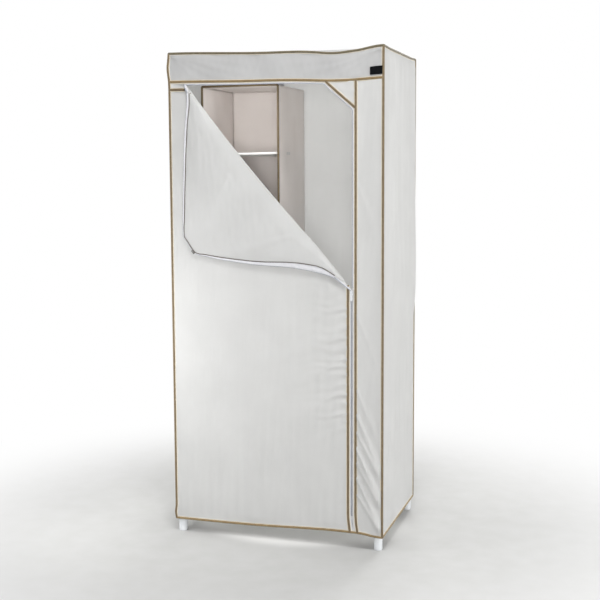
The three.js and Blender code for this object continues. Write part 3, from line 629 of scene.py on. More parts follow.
# Door flap: its fold line, its curved zip edge and its depth follow the CAD solid
GAP = 0.3 * MM
CAD_CLOTH = 1.2 * MM
FOLD_TOP = np.array([ZIP_START_X + 14 * MM, VALANCE_SEAM - 23 * MM])
FOLD_FOOT = np.array([JAMB_SEAM - 14 * MM, 843 * MM])
FOLD_BOW, BOW_END_SHARE = 8.5 * MM, 0.78
FLAP_DROP = 333 * MM
FLAP_HANG = 10 * MM
FLAP_BELLY = 14 * MM
FLAP_RIPPLE = 3 * MM
FLAP_TAPE = 10 * MM
FLAP_SLACK = ((1.6, 6, 70, 220, 1.4), (0.6, 9, 18, 50, 2.5))
FLAP_CREASES = ((-150, 1200, -260, 980, 16, 3.2), (60, 1010, -170, 940, 13, 2.6),
                (-250, 1330, -270, 1080, 12, 2.2))
flap_edge_shares = [
    (0.012, 0.03), (0.04, 0.09), (0.105, 0.265), (0.2375, 0.58), (0.36, 0.86), (0.4, 0.95),
    (0.416, 0.978), (0.44, 0.984), (0.49, 0.994), (0.508, 0.975), (0.525, 0.935),
    (0.567, 0.852), (0.6825, 0.587), (0.793, 0.3), (0.88, 0.118), (0.925, 0.045),
]
fold_start_share, fold_end_share = 0.008, 0.955
flap_lift_share = 0.16

fold_length = np.linalg.norm(FOLD_FOOT - FOLD_TOP)
fold_direction = (FOLD_FOOT - FOLD_TOP) / fold_length
away_from_fold = np.array([fold_direction[1], -fold_direction[0]])
SEAT_Y = DOOR_FACE - GAP - CAD_CLOTH / 2
HANG_Y = DOOR_FACE - FLAP_HANG


def fold_bow(share):
    """The fold line bows towards the flap over its upper part."""
    return FOLD_BOW * np.sin(math.pi * np.clip(share / BOW_END_SHARE, 0, 1))


def fold_place(share):
    share = np.asarray(share, float)[..., None]
    return FOLD_TOP + fold_direction * share * fold_length + away_from_fold * fold_bow(share)


def fold_height(x):
    """Height of the fold line at a place across the front."""
    share = (x - FOLD_TOP[0]) / (FOLD_FOOT[0] - FOLD_TOP[0])
    return FOLD_TOP[1] + share * (FOLD_FOOT[1] - FOLD_TOP[1]) - fold_bow(share) / fold_direction[0]


edge_points = np.array([
    FOLD_TOP + fold_direction * run * fold_length + away_from_fold * drop * FLAP_DROP
    for run, drop in flap_edge_shares
])


def flap_edge(run):
    """A place on the zip edge, on a centripetal curve through its points."""
    ends = [2 * edge_points[0] - edge_points[1], 2 * edge_points[-1] - edge_points[-2]]
    around = np.vstack([ends[0], edge_points, ends[1]])
    place = np.asarray(run, float) * (len(edge_points) - 1)
    step = np.clip(np.floor(place).astype(int), 0, len(edge_points) - 2)
    t = (place - step)[..., None]
    p0, p1, p2, p3 = (around[step + k] for k in range(4))
    d0, d1, d2 = (np.sqrt(np.linalg.norm(b - a, axis=-1))[..., None]
                  for a, b in ((p0, p1), (p1, p2), (p2, p3)))
    m1 = ((p1 - p0) / d0 - (p2 - p0) / (d0 + d1) + (p2 - p1) / d1) * d1
    m2 = ((p2 - p1) / d1 - (p3 - p1) / (d1 + d2) + (p3 - p2) / d2) * d1
    near_start = (2 * t ** 3 - 3 * t ** 2 + 1) * p1 + (t ** 3 - 2 * t ** 2 + t) * m1
    return near_start + (3 * t ** 2 - 2 * t ** 3) * p2 + (t ** 3 - t ** 2) * m2


def behind_edge(run, back):
    step = 0.0005
    tangent = unit(flap_edge(np.clip(run + step, 0, 1)) - flap_edge(np.clip(run - step, 0, 1)))
    normal = np.stack([-tangent[..., 1], tangent[..., 0]], -1)
    return flap_edge(run) + normal * np.asarray(back)[..., None]


def flap_y(run, drop):
    lift = np.minimum(drop / flap_lift_share, 1)
    rise = lift * (2 - lift)
    bellied = FLAP_BELLY * np.sin(math.pi * drop) * np.sin(math.pi * run)
    ripple = FLAP_RIPPLE * np.sin(3 * math.pi * run) * drop * (1 - drop)
    return SEAT_Y + (HANG_Y - SEAT_Y) * rise - bellied - ripple


def fold_start(run):
    """Where a run of the flap leaves the fold."""
    return fold_place(fold_start_share + (fold_end_share - fold_start_share) * run)


def flap_grid(run, back, share):
    """Points of the flap at runs along the fold and shares of the way to a line behind the zip edge."""
    run, share = np.broadcast_arrays(run, share)
    edge, line, start = behind_edge(run, 0), behind_edge(run, back), fold_start(run)
    drop = share * np.linalg.norm(line - start, axis=-1) / np.linalg.norm(edge - start, axis=-1)
    point = start + (line - start) * share[..., None]
    x, z = point[..., 0], point[..., 1]
    calm = fade(drop, 0.25) * fade(1 - drop, 0.12)
    soft = slack_sum(x, z, FLAP_SLACK, 71) + crease_sum(x, z, FLAP_CREASES)
    return np.stack([x, flap_y(run, drop) - soft * calm, z], -1)


ROLL_RADIUS = 2.4 * MM
REAR_STRIP = 26 * MM
DOOR_DIP = 2 * ROLL_RADIUS
FLAP_RUNS = 150
FLAP_ACROSS = 64
FLAP_CLOTH_BACK = 2 * MM
flap_run = np.linspace(0, 1, FLAP_RUNS * 2 + 1)
ALL_DOWN = np.ones_like(flap_run)


def fold_roll():
    """Rows that lead from the door, round the fold, to the flap's first row."""
    start = fold_start(np.linspace(0, 1, FLAP_RUNS + 1))
    places = [(-back, 2 * ROLL_RADIUS)
              for back in (REAR_STRIP, REAR_STRIP / 2, REAR_STRIP / 5, REAR_STRIP / 12)]
    for turn in np.radians((0, 25, 50, 75, 105, 130, 155)):
        places.append((ROLL_RADIUS * math.sin(turn), ROLL_RADIUS + ROLL_RADIUS * math.cos(turn)))
    rows = []
    for shift, depth in places:
        place = start - away_from_fold * shift
        rows.append(np.stack([place[:, 0], np.full(len(place), SEAT_Y + depth), place[:, 1]], 1))
    return np.array(rows)


def flap_rows(back):
    run = np.linspace(0, 1, FLAP_RUNS + 1)[None, :]
    share = np.linspace(0, 1, FLAP_ACROSS + 1)[:, None]
    return flap_grid(run, back, share)


def flap_path(back):
    """A line along the zip edge, that far behind it."""
    return flap_grid(flap_run, back, ALL_DOWN)


flap_layout = np.concatenate([fold_roll(), flap_rows(FLAP_CLOTH_BACK)])[:, ::-1]
flap_cloth = sheet_mesh("door_flap_cloth", flap_layout, CLOTH, cover_cloth)
# One face of the flap, with its roll round the fold, takes the darker copy of the cover cloth: painted
# shade
flap_cloth.data.materials.append(flap_inner_shaded_cloth)
flap_shaded_faces = np.arange(len(flap_cloth.data.polygons)) < (len(flap_layout) - 1) * FLAP_RUNS
flap_cloth.data.polygons.foreach_set("material_index", flap_shaded_faces.astype(np.int32))
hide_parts("door_flap")
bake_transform(flap_cloth)


# Teeth and tapes

TOOTH_PITCH = 2.6 * MM
TOOTH = (1.5 * MM, 2.8 * MM, 2.2 * MM)
TAPE_WIDTH = 9.5 * MM
FACING = np.array([0.0, -1.0, 0.0])


def path_frames(path, facing):
    """Unit directions along a path, across it and out of the cloth."""
    ahead = unit(np.gradient(path, axis=0))
    across = unit(np.cross(ahead, facing))
    return ahead, across, np.cross(across, ahead)


def even_places(path, pitch, offset):
    """Points at an even pitch along a path."""
    steps = np.linalg.norm(np.diff(path, axis=0), axis=1)
    travelled = np.concatenate([[0], np.cumsum(steps)])
    at = np.arange(offset, travelled[-1], pitch)
    return np.stack([np.interp(at, travelled, path[:, k]) for k in range(3)], 1)


def teeth_row(name, path, body, offset=0.0):
    places = even_places(path, TOOTH_PITCH, offset)
    points, faces = blocks(places, *path_frames(places, FACING), TOOTH)
    return sew(add_mesh(name, points, faces, len(faces), [grey_teeth]), body, "zip_metal")


def tape_strip(name, path, material, *nodes):
    """A flat tape along its middle line."""
    across = path_frames(path, FACING)[1]
    shares = np.array([-0.5, -0.2, 0.2, 0.5])
    grid = path[None] + across[None] * (TAPE_WIDTH * shares)[:, None, None]
    return sew(sheet_mesh(name, grid, TAPE, material), ROOT, "zip_tape", *nodes)


# Of the tape's inner face more shows where the edge curls: at the top and along the bottom
tape_width_shares = [(0, 0.5), (0.12, 0.5), (0.3, 0.15), (0.5, 0.1), (0.67, 0.2), (0.75, 0.4),
                     (0.82, 0.65), (0.88, 1.1), (0.92, 1.2), (1, 0.4)]
TAPE_SHOWN = 16 * MM
TAPE_LIFT = 0.9 * MM
SEAM_RADIUS, SEAM_BACK, SEAM_LIFT = 1.6 * MM, 0.8 * MM, 1.2 * MM
FLAP_BEAD = 2.4 * MM
tape_widths = TAPE_SHOWN * np.interp(flap_run, *zip(*tape_width_shares))
flap_surface = flap_rows(FLAP_CLOTH_BACK).reshape(-1, 3)


def laid_on_flap(points, offset):
    """The same points, moved along Y to that distance in front of the flap's cloth."""
    laid = points.reshape(-1, 3).copy()
    for point in laid:
        away = (flap_surface[:, 0] - point[0]) ** 2 + (flap_surface[:, 2] - point[2]) ** 2
        nearest = np.argpartition(away, 5)[:5]
        weight = 1 / (away[nearest] + 1e-8)
        point[1] = np.sum(weight * flap_surface[nearest, 1]) / np.sum(weight) - offset
    return laid.reshape(points.shape)


def flap_tape(name, widths, offset, *nodes):
    rows = np.array([flap_path(widths * share) for share in (1, 0.7, 0.3, 0)])
    return sew(sheet_mesh(name, laid_on_flap(rows, offset), TAPE, white_tape), "flap", "zip_tape", *nodes)


flap_tape("flap_tape_inner", tape_widths, TAPE_LIFT, "zip_tape_flap")
flap_tape("flap_tape_outer", FLAP_TAPE * ALL_DOWN, -TAPE_LIFT)
# A dark line along the inner edge of the flap's tape: a real seam, darkened to stand for the shadow along
# it, which is painted shadow
seam_line = laid_on_flap(flap_path(tape_widths + SEAM_BACK), SEAM_LIFT)
sew(tube_mesh("flap_seam_binding_and_painted_shade", seam_line, SEAM_RADIUS, 8, seam_binding_and_shade), "flap", "piping")
teeth_row("flap_zip_teeth", flap_path(-0.2 * MM), "flap")
bead_line = laid_on_flap(flap_path(FLAP_TAPE + 0.4 * MM), -FLAP_BEAD)
sew(tube_mesh("flap_piping", bead_line, FLAP_BEAD, 10, brown_piping), "flap", "piping", "piping_flap")

# Bar tack: stitches side by side across the tape, where the flap's lower corner turns
TACK_RUN = 0.528
TACK_STITCHES = 5
STITCH_RADIUS, STITCH_PITCH_RUN = 1.1 * MM, 0.0055
TACK_ENDS = (-5 * MM, 3 * MM)
TACK_LIFT = 1.8 * MM


def corner_tack():
    parts = []
    back = np.linspace(*TACK_ENDS, 7)
    for number in range(TACK_STITCHES):
        run = np.full(7, TACK_RUN + (number - TACK_STITCHES // 2) * STITCH_PITCH_RUN)
        stitch = laid_on_flap(flap_grid(run, back, np.ones(7)), TACK_LIFT)
        parts.append(tube_parts(stitch, STITCH_RADIUS, 6))
    return add_mesh("flap_corner_tack", *joined(parts), 0, [dark_thread])


sew(corner_tack(), "flap", "piping")

# Door: one panel, cut along the fold line at its top right, with puckers beside its piping
DOOR_SLACK = ((2.1, 6, 150, 420, 2.2), (0.8, 9, 26, 80, 6))
DOOR_FULLNESS = 1.5 * MM
# Creases that leave the zip: start height, run, drop and height in mm
DOOR_CREASES = ((780, 240, 70, 1.68), (700, 300, 110, 2.1), (610, 320, 150, 2.1),
                (510, 300, 150, 1.68), (400, 340, 190, 1.4))
CREASE_INSET, CREASE_WIDTH = 20, 20
PUCKER, PUCKER_PITCH, PUCKER_REACH = 4.2 * MM, 31 * MM, 48 * MM
PUCKER_FOOT, PUCKER_RISE, PUCKER_ROOM = 300 * MM, 200 * MM, 9 * MM
PUCKER_SLANT, PUCKER_WANDER = 0.12, 2.2
CALM_REACH, FOLD_REACH, DIP_REACH = 30 * MM, 60 * MM, 55 * MM


def door_waves(x, z):
    """The door's waves, and the puckers beside its piping."""
    rows = []
    for start, run, drop, height in DOOR_CREASES:
        seam = DOOR_SEAM / MM
        rows.append((seam - CREASE_INSET, start, seam - run, start - drop, CREASE_WIDTH, height))
    waves = DOOR_FULLNESS + slack_sum(x, z, DOOR_SLACK, 81) + crease_sum(x, z, rows)
    away = DOOR_SEAM - x
    near = np.exp(-away / PUCKER_REACH) * fade(z - PUCKER_FOOT, PUCKER_RISE)
    uneven = slack(x, z, 4, 40 * MM, 90 * MM, 1, 83)
    wander = PUCKER_WANDER * slack(x, z, 4, 90 * MM, 200 * MM, 1, 84)
    bands = np.sin(2 * math.pi * (z + PUCKER_SLANT * away) / PUCKER_PITCH + wander)
    puckers = PUCKER * near * bands * (0.6 + 0.4 * uneven)
    return waves, puckers * fade(away, PUCKER_ROOM)


def door_sheet():
    columns, rows = round((DOOR_SEAM - LEFT) / (5 * MM)), round(HEIGHT / (6 * MM))
    x = np.linspace(LEFT + SEAM_INSET, DOOR_SEAM - SEAM_INSET, columns + 1)[None, :]
    share = np.linspace(0, 1, rows + 1)[:, None]
    z = HEM * (1 - share) + np.minimum(fold_height(x), VALANCE_SEAM) * share
    x = np.broadcast_to(x, z.shape)
    edge = np.minimum(np.minimum(x - LEFT, DOOR_SEAM - x), z - HEM)
    below_fold = (fold_height(x) - z) * abs(fold_direction[0])
    calm = fade(edge, CALM_REACH) * fade(below_fold, FOLD_REACH)
    dip = DOOR_DIP * (1 - fade(below_fold, DIP_REACH)) * fade(edge, CALM_REACH)
    waves, puckers = door_waves(x, z)
    y = FRONT - waves * calm - puckers * fade(below_fold, FOLD_REACH) + dip
    return np.stack([x, y, z], 2)


door_cloth = sheet_mesh("door_cloth", door_sheet(), CLOTH, cover_cloth)
sew(door_cloth, ROOT, "cover_cloth", "cover_door")

# Gusset across the opening's upper corner
GUSSET_CELLS = 16
GUSSET_SLACK = ((1.2, 5, 30, 80, 1),)


def gusset_sheet():
    share = np.linspace(0, 1, GUSSET_CELLS + 1)
    x = (GUSSET_TOP_X + (JAMB_SEAM - GUSSET_TOP_X) * share)[None, :]
    slant = VALANCE_SEAM + (GUSSET_FOOT_Z - VALANCE_SEAM) * share[None, :]
    z = slant + (VALANCE_SEAM - slant) * share[:, None]
    x = np.broadcast_to(x, z.shape)
    y = FRONT - slack_sum(x, z, GUSSET_SLACK, 91)
    return np.stack([x, y, z], 2)[:, 1:]


gusset = sheet_mesh("gusset_cloth", gusset_sheet(), CLOTH, cover_cloth)
sew(gusset, ROOT, "cover_cloth", "cover_gusset")

# Piping: a brown bead with a cream edging on either side
PIPING_SIDES, EDGING_SIDES = 12, 6
BEAD_RADIUS = 3.8 * MM
EDGING_RADIUS = 1.5 * MM
EDGING_SHIFT = 4.9 * MM
PIPING_STEP = 8 * MM
X, Y, Z = np.eye(3)


def line(start, end, step=PIPING_STEP):
    start, end = np.array(start, float), np.array(end, float)
    count = max(2, round(np.linalg.norm(end - start) / step))
    return start + (end - start) * np.linspace(0, 1, count + 1)[:, None]


def rounded(points, radius, step=4 * MM):
    """A path through corner points, each corner cut by an arc."""
    points = [np.array(p, float) for p in points]
    path = [points[0]]
    for before, corner, after in zip(points, points[1:], points[2:]):
        into, out_of = unit(before - corner), unit(after - corner)
        half = math.acos(float(np.clip(np.dot(into, out_of), -1, 1))) / 2
        reach = radius / math.tan(half)
        first, last = corner + into * reach, corner + out_of * reach
        middle = corner + unit(into + out_of) * radius / math.sin(half)
        path.append(first)
        for share in np.linspace(0, 1, 9)[1:]:
            path.append(middle + unit(first + (last - first) * share - middle) * radius)
    path.append(points[-1])
    pieces = [line(a, b, step)[:-1] for a, b in zip(path, path[1:]) if np.linalg.norm(b - a) > 1e-6]
    return np.concatenate(pieces + [np.array([path[-1]])])


def piping_piece(name, runs, body, bead_material, *nodes):
    """Beads along several runs, each with edgings moved along the panels that its seam joins."""
    beads, edgings = [], []
    for path, sides_of in runs:
        beads.append(tube_parts(path, BEAD_RADIUS, PIPING_SIDES))
        for side in sides_of:
            edgings.append(tube_parts(path + side * EDGING_SHIFT, EDGING_RADIUS, EDGING_SIDES))
    all_beads, all_edgings = joined(beads), joined(edgings)
    points, faces = joined([all_beads, all_edgings])
    piece = add_mesh(name, points, faces, 0, [bead_material, cream_edging])
    is_edging = np.arange(len(faces)) >= len(all_beads[1])
    piece.data.polygons.foreach_set("material_index", is_edging.astype(np.int32))
    return sew(piece, body, "piping", *nodes)


def seams_round(height):
    """The four level seams round the cover at one height, each with its direction inwards."""
    return [
        (line((LEFT, FRONT, height), (RIGHT, FRONT, height)), Y),
        (line((LEFT, BACK, height), (RIGHT, BACK, height)), -Y),
        (line((LEFT, FRONT, height), (LEFT, BACK, height)), X),
        (line((RIGHT, FRONT, height), (RIGHT, BACK, height)), -X),
    ]


top_runs = [(path, (-Z, inward)) for path, inward in seams_round(TOP)]
level_runs = [(path, (Z,)) for path, _ in seams_round(HEM)]
level_runs.append((line((LEFT, FRONT, VALANCE_SEAM), (RIGHT, FRONT, VALANCE_SEAM)), (Z, -Z)))
upright_runs = []
for x, side in ((LEFT, X), (RIGHT, -X)):
    for y, depth in ((FRONT, Y), (BACK, -Y)):
        upright_runs.append((line((x, y, HEM), (x, y, TOP)), (side, depth)))
piping_piece("top_piping", top_runs, ROOT, dark_piping)
# The level seams' piping is drawn in the lighter copy of the brown piping, which is painted light
piping_piece("level_piping", level_runs, ROOT, lit_level_piping)
piping_piece("upright_piping", upright_runs, ROOT, brown_piping, "piping_cover")

door_run = line((DOOR_SEAM, FRONT, HEM), (DOOR_SEAM, FRONT, fold_height(DOOR_SEAM) + 2 * MM))
piping_piece("door_piping", [(door_run, (X, -X))], ROOT, brown_piping, "piping_door")
DOOR_TOP_SEAM, DOOR_TOP_Y = 1478 * MM, FRONT - 0.6 * MM
short_run = line((LEFT, DOOR_TOP_Y, DOOR_TOP_SEAM), (ZIP_START_X, DOOR_TOP_Y, DOOR_TOP_SEAM))
piping_piece("door_top_piping", [(short_run, (Z, -Z))], ROOT, brown_piping)
slant_side = np.cross(unit(np.array([JAMB_SEAM - GUSSET_TOP_X, 0, GUSSET_FOOT_Z - VALANCE_SEAM])), Y)
jamb_run = line((JAMB_SEAM, FRONT, VALANCE_SEAM), (JAMB_SEAM, FRONT, HEM))
slant_run = line((GUSSET_TOP_X, FRONT, VALANCE_SEAM), (JAMB_SEAM, FRONT, GUSSET_FOOT_Z))
jamb_runs = [(jamb_run, (X, -X)), (slant_run, (slant_side, -slant_side))]
piping_piece("jamb_piping", jamb_runs, ROOT, brown_piping, "piping_jamb")

# Zip: tapes and teeth. The jamb's row goes up, across the gusset and along the top
ZIP_BOTTOM = 102 * MM
TEETH_OFF = 10.2 * MM
TAPE_OFF = 6.6 * MM
ROW_SHIFT = 1.3 * MM
ROW_LIFT = 0.5 * MM
SLIDER_SPLIT = 8 * MM
CORNER_RADIUS = 26 * MM
zip_line = rounded([
    (ZIP_START_X, FRONT, VALANCE_SEAM), (GUSSET_TOP_X, FRONT, VALANCE_SEAM),
    (JAMB_SEAM, FRONT, GUSSET_FOOT_Z), (JAMB_SEAM, FRONT, SLIDER_TOP + SLIDER_SPLIT),
], CORNER_RADIUS)


def opening_side(path, distance):
    """A path moved square to itself, towards the opening."""
    shift = path_frames(path, FACING)[1] * distance
    moved = path - shift
    return moved if moved[-1][0] < path[-1][0] else path + shift


def closed_row(x):
    return line((x, FRONT - ROW_LIFT, ZIP_BOTTOM), (x, FRONT - ROW_LIFT, SLIDER_TOP))


lower_jamb = line((JAMB_SEAM, FRONT, SLIDER_TOP + SLIDER_SPLIT), (JAMB_SEAM, FRONT, HEM))
door_tape_x = ZIP_X - TEETH_OFF + TAPE_OFF - 2 * MM
door_tape_line = line((door_tape_x, FRONT, SLIDER_TOP), (door_tape_x, FRONT, HEM))
tape_strip("jamb_tape_open", opening_side(zip_line, TAPE_OFF), white_tape, "zip_tape_jamb")
# Below the slider the tapes take the darker copy of the white tape, which is painted shade
tape_strip("jamb_tape_closed", opening_side(lower_jamb, TAPE_OFF), shaded_closed_tape)
tape_strip("door_tape", door_tape_line, shaded_closed_tape, "zip_tape_door")
teeth_row("jamb_zip_teeth_open", opening_side(zip_line, TEETH_OFF) + FACING * ROW_LIFT, ROOT)
teeth_row("jamb_zip_teeth_closed", closed_row(ZIP_X + ROW_SHIFT), ROOT)
teeth_row("door_zip_teeth_closed", closed_row(ZIP_X - ROW_SHIFT), ROOT, TOOTH_PITCH / 2)


# Bridges of cloth, tape and teeth between the cover's zip and both ends of the flap's.
# Each piece has one ring on the frame and one on the flap.

BRIDGE_TAPE, BRIDGE_TEETH = 5 * MM, 2.6 * MM
BRIDGE_LIFT, TEETH_THICK = 0.9 * MM, 2 * MM


def slab(low_edge, high_edge, thickness):
    """Four corners of a flat ring between two places, with a thickness along Y."""
    half = np.array([0, thickness / 2, 0])
    return [low_edge - half, high_edge - half, high_edge + half, low_edge + half]


def bridge(name, still_ring, moving_ring, material):
    """A prism between two rings of points: the first on the frame, the second on the flap."""
    count = len(still_ring)
    faces = prism_faces(2, count)
    piece = add_mesh(name, np.array(still_ring + moving_ring), faces, len(faces), [material])
    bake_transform(piece)


def bridges(label, end, foot, along, fold_at):
    """Tape, teeth and cloth from a place on the zip to one end of the flap. along points up the zip."""
    forward = FACING * BRIDGE_LIFT
    edge, tape_back = flap_path(0)[end] + forward, flap_path(tape_widths[end])[end] + forward
    cloth_back, fold = flap_path(FLAP_CLOTH_BACK)[end], flap_rows(FLAP_CLOTH_BACK)[0, end]
    tape_top = foot + along * BRIDGE_TAPE
    bridge(f"{label}_bridge_tape", slab(foot, tape_top, TAPE), slab(edge, tape_back, TAPE),
           white_tape)
    bridge(f"{label}_bridge_cloth", slab(tape_top, fold_at, CLOTH), slab(cloth_back, fold, CLOTH),
           cover_cloth)
    teeth_low, teeth_high = foot - along * 1.5 * MM + FACING * MM, foot + along * MM + FACING * MM
    teeth_back = edge - unit(edge - tape_back) * BRIDGE_TEETH
    bridge(f"{label}_bridge_teeth", slab(teeth_low, teeth_high, TEETH_THICK),
           slab(edge, teeth_back, TEETH_THICK), grey_teeth)


zip_foot = np.array([ZIP_X - 2 * MM, FRONT - 1.6 * MM, SLIDER_TOP - 1 * MM])
bridges("foot", -1, zip_foot, Z, zip_foot + np.array([-2 * MM, 0, 10 * MM]))
zip_head = np.array([ZIP_START_X, FRONT - 1.6 * MM, VALANCE_SEAM - 10 * MM])
bridges("head", 0, zip_head, X, zip_head + np.array([14 * MM, 0, -9 * MM]))

# The zip's bottom stop, just below the slider's lowest place
STOP = (5 * MM, 6.5 * MM, 3 * MM)
SLIDER_TRAVEL = 724 * MM
STOP_Z = slider_low.z - SLIDER_TRAVEL - STOP[0] / 2 - 0.4 * MM
stop_place = np.array([ZIP_X, FRONT - 0.6 * MM, STOP_Z])
stop_points, stop_faces = blocks([stop_place], [Z], [X], [Y], STOP, 0.25)
bottom_stop = add_mesh("zip_bottom_stop", stop_points, stop_faces, len(stop_faces), [zip_metal], False)
sew(bottom_stop, ROOT, "zip_metal")

# The blank tab, sewn in at its right end
TAB_SIZE, TAB_CORNER = (42 * MM, 25 * MM), (316 * MM, 1513 * MM)
TAB_SLACK = ((0.3, 4, 20, 40, 1),)
TAB_FRONT, TAB_CURL = 2.2 * MM, 1.6 * MM


def tab_sheet():
    share, up = np.meshgrid(np.linspace(0, 1, 15), np.linspace(0, 1, 11))
    x, z = TAB_CORNER[0] + TAB_SIZE[0] * share, TAB_CORNER[1] + TAB_SIZE[1] * up
    y = FRONT - TAB_FRONT - TAB_CURL * (1 - share) ** 2 - slack_sum(x, z, TAB_SLACK, 95)
    return np.stack([x, y, z], 2)


tab = sew(sheet_mesh("blank_side_tab", tab_sheet(), 0.7 * MM, blank_tab), ROOT, "piping")

# Shelf unit: four cloth walls, straps over the rail, six stiffened shelves
UNIT_LOW, UNIT_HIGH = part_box("shelf_unit_case")
CASE_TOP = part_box("shelf_1")[1].z + 216 * MM
UNIT_LEFT, UNIT_RIGHT = UNIT_LOW.x + CLOTH, UNIT_HIGH.x - CLOTH
UNIT_FRONT, UNIT_BACK = UNIT_LOW.y + CLOTH, UNIT_HIGH.y - CLOTH
UNIT_FLOOR = UNIT_LOW.z + CLOTH
# Slack of the walls, for a height of 1 mm in all
UNIT_SLACK = ((0.7, 6, 60, 190, 4), (0.3, 8, 16, 40, 10))
UNIT_REACH = 40 * MM


def unit_wall(name, corner, across, up, slack_mm, seed, *nodes):
    """A wall of the case: corner, and the vectors across it and up it."""
    corner, across, up = (np.array(v, float) for v in (corner, across, up))
    width, height = float(np.linalg.norm(across)), float(np.linalg.norm(up))
    s, t = shares(width, height, COARSE_CELL)
    push = slack_mm * slack_sum(s * width, t * height, UNIT_SLACK, seed)
    push = push * fade(np.minimum(s, 1 - s) * width, UNIT_REACH)
    grid = corner + across * s[..., None] + up * t[..., None]
    grid = grid + unit(np.cross(across, up)) * push[..., None]
    wall = sew(sheet_mesh(name, grid, CLOTH, unit_cloth), "shelf_unit", "shelf_cloth", *nodes)


unit_width, unit_depth = UNIT_RIGHT - UNIT_LEFT, UNIT_BACK - UNIT_FRONT
case_up = (0, 0, CASE_TOP - UNIT_FLOOR)
unit_wall("unit_back_wall", (UNIT_LEFT, UNIT_BACK, UNIT_FLOOR), (unit_width, 0, 0), case_up,
          1.5, 101, "shelf_unit_case")
unit_wall("unit_left_wall", (UNIT_LEFT, UNIT_BACK, UNIT_FLOOR), (0, -unit_depth, 0), case_up, 1.5, 103)
unit_wall("unit_right_wall", (UNIT_RIGHT, UNIT_FRONT, UNIT_FLOOR), (0, unit_depth, 0), case_up, 1.5, 105)
unit_wall("unit_top_wall", (UNIT_LEFT, UNIT_FRONT, CASE_TOP), (unit_width, 0, 0), (0, unit_depth, 0),
          0.8, 107)

SHELF_SAG = 2.2 * MM
SHELF_COLUMNS = 30


def round_edge(y, half, first, last, count):
    """Places round one edge of a board: depth, and height as a share of the half thickness."""
    turns = np.radians(np.linspace(first, last, count)[1:-1])
    return [(y + half * math.cos(turn), math.sin(turn)) for turn in turns]


def rounded_board(name, cad_node):
    """A shelf: cloth over board, with round edges and a slight sag."""
    low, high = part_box(cad_node)
    half = (high.z - low.z) / 2
    depths = np.linspace(low.y + half, high.y - half, 15)
    outline = [(y, 1) for y in depths] + round_edge(high.y - half, half, 90, -90, 7)
    outline += [(y, -1) for y in depths[::-1]] + round_edge(low.y + half, half, 270, 90, 9)
    points = []
    for share in np.linspace(0, 1, SHELF_COLUMNS + 1):
        x = low.x + (high.x - low.x) * share
        middle = (low.z + high.z) / 2 - SHELF_SAG * 4 * share * (1 - share)
        points += [(x, y, middle + half * up) for y, up in reversed(outline)]
    faces = prism_faces(SHELF_COLUMNS + 1, len(outline))
    sew(add_mesh(name, points, faces, 2, [board_cloth]), "shelf_unit", "shelf_cloth", cad_node)


for number in range(1, 7):
    rounded_board(f"shelf_board_{number}", f"shelf_{number}")

unit_runs = [(line((x, UNIT_FRONT, UNIT_FLOOR), (x, UNIT_FRONT, CASE_TOP)), (Y,))
             for x in (UNIT_LEFT, UNIT_RIGHT)]
unit_runs += [(line((UNIT_LEFT, UNIT_FRONT, z), (UNIT_RIGHT, UNIT_FRONT, z)), (Y,))
              for z in (CASE_TOP, UNIT_FLOOR)]
piping_piece("unit_piping", unit_runs, "shelf_unit", brown_piping)

STRAP_WIDTH = 40 * MM
STRAP_INSET = 30 * MM
STRAP_THICKNESS = 1.5 * MM
STRAP_TAIL = 34 * MM
rail_low, rail_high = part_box("hanging_rail")
RAIL_Y, RAIL_Z = (rail_low.y + rail_high.y) / 2, (rail_low.z + rail_high.z) / 2
LOOP_RADIUS = (rail_high.z - rail_low.z) / 2 + 0.3 * MM + STRAP_THICKNESS / 2


def strap_grid(low_x):
    """A webbing loop: up one side of the rail, over it and down the other."""
    seat = CASE_TOP + CLOTH / 2 + STRAP_THICKNESS / 2
    side_y = RAIL_Y - LOOP_RADIUS
    outline = [(RAIL_Y - STRAP_TAIL, seat), (side_y - 6 * MM, seat + 0.5 * MM),
               (side_y, seat + 6 * MM), (side_y, RAIL_Z - 30 * MM)]
    for turn in np.radians(np.linspace(180, 0, 13)):
        outline.append((RAIL_Y + LOOP_RADIUS * math.cos(turn), RAIL_Z + LOOP_RADIUS * math.sin(turn)))
    outline += [(2 * RAIL_Y - y, z) for y, z in outline[3::-1]]
    places = np.linspace(low_x, low_x + STRAP_WIDTH, 5)
    return np.array([[(x, y, z) for x in places] for y, z in outline])


for number, low_x in enumerate((UNIT_LOW.x + STRAP_INSET, UNIT_HIGH.x - STRAP_INSET - STRAP_WIDTH), 1):
    strap = sheet_mesh(f"rail_strap_{number}", strap_grid(low_x), STRAP_THICKNESS, white_tape)
    sew(strap, "shelf_unit", "shelf_cloth")

# Rigid pieces carried over from the frame
RIGID_LOOKS = {
    "joint": white_plastic, "coupler": white_plastic, "tee": white_plastic, "post": coated_steel,
    "top_rail": coated_steel, "bottom_rail": coated_steel, "hanging_rail": coated_steel,
    "zip_slider": zip_metal, "zip_puller": zip_metal,
}
for name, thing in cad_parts.items():
    for word, look in RIGID_LOOKS.items():
        if word in name:
            thing.data.materials.clear()
            thing.data.materials.append(look)

# Camera at the photograph's angle, from a fit to the cover's corners
FRAME_PX = 600
FOCAL_PX = 1089.2
CENTRE_Y_PX = 288
SENSOR = 36
CAMERA_PLACE = Vector((1.139, -3.532, 1.221))
YAW, PITCH, ROLL = math.radians(-17.67), math.radians(-6.20), math.radians(-0.29)


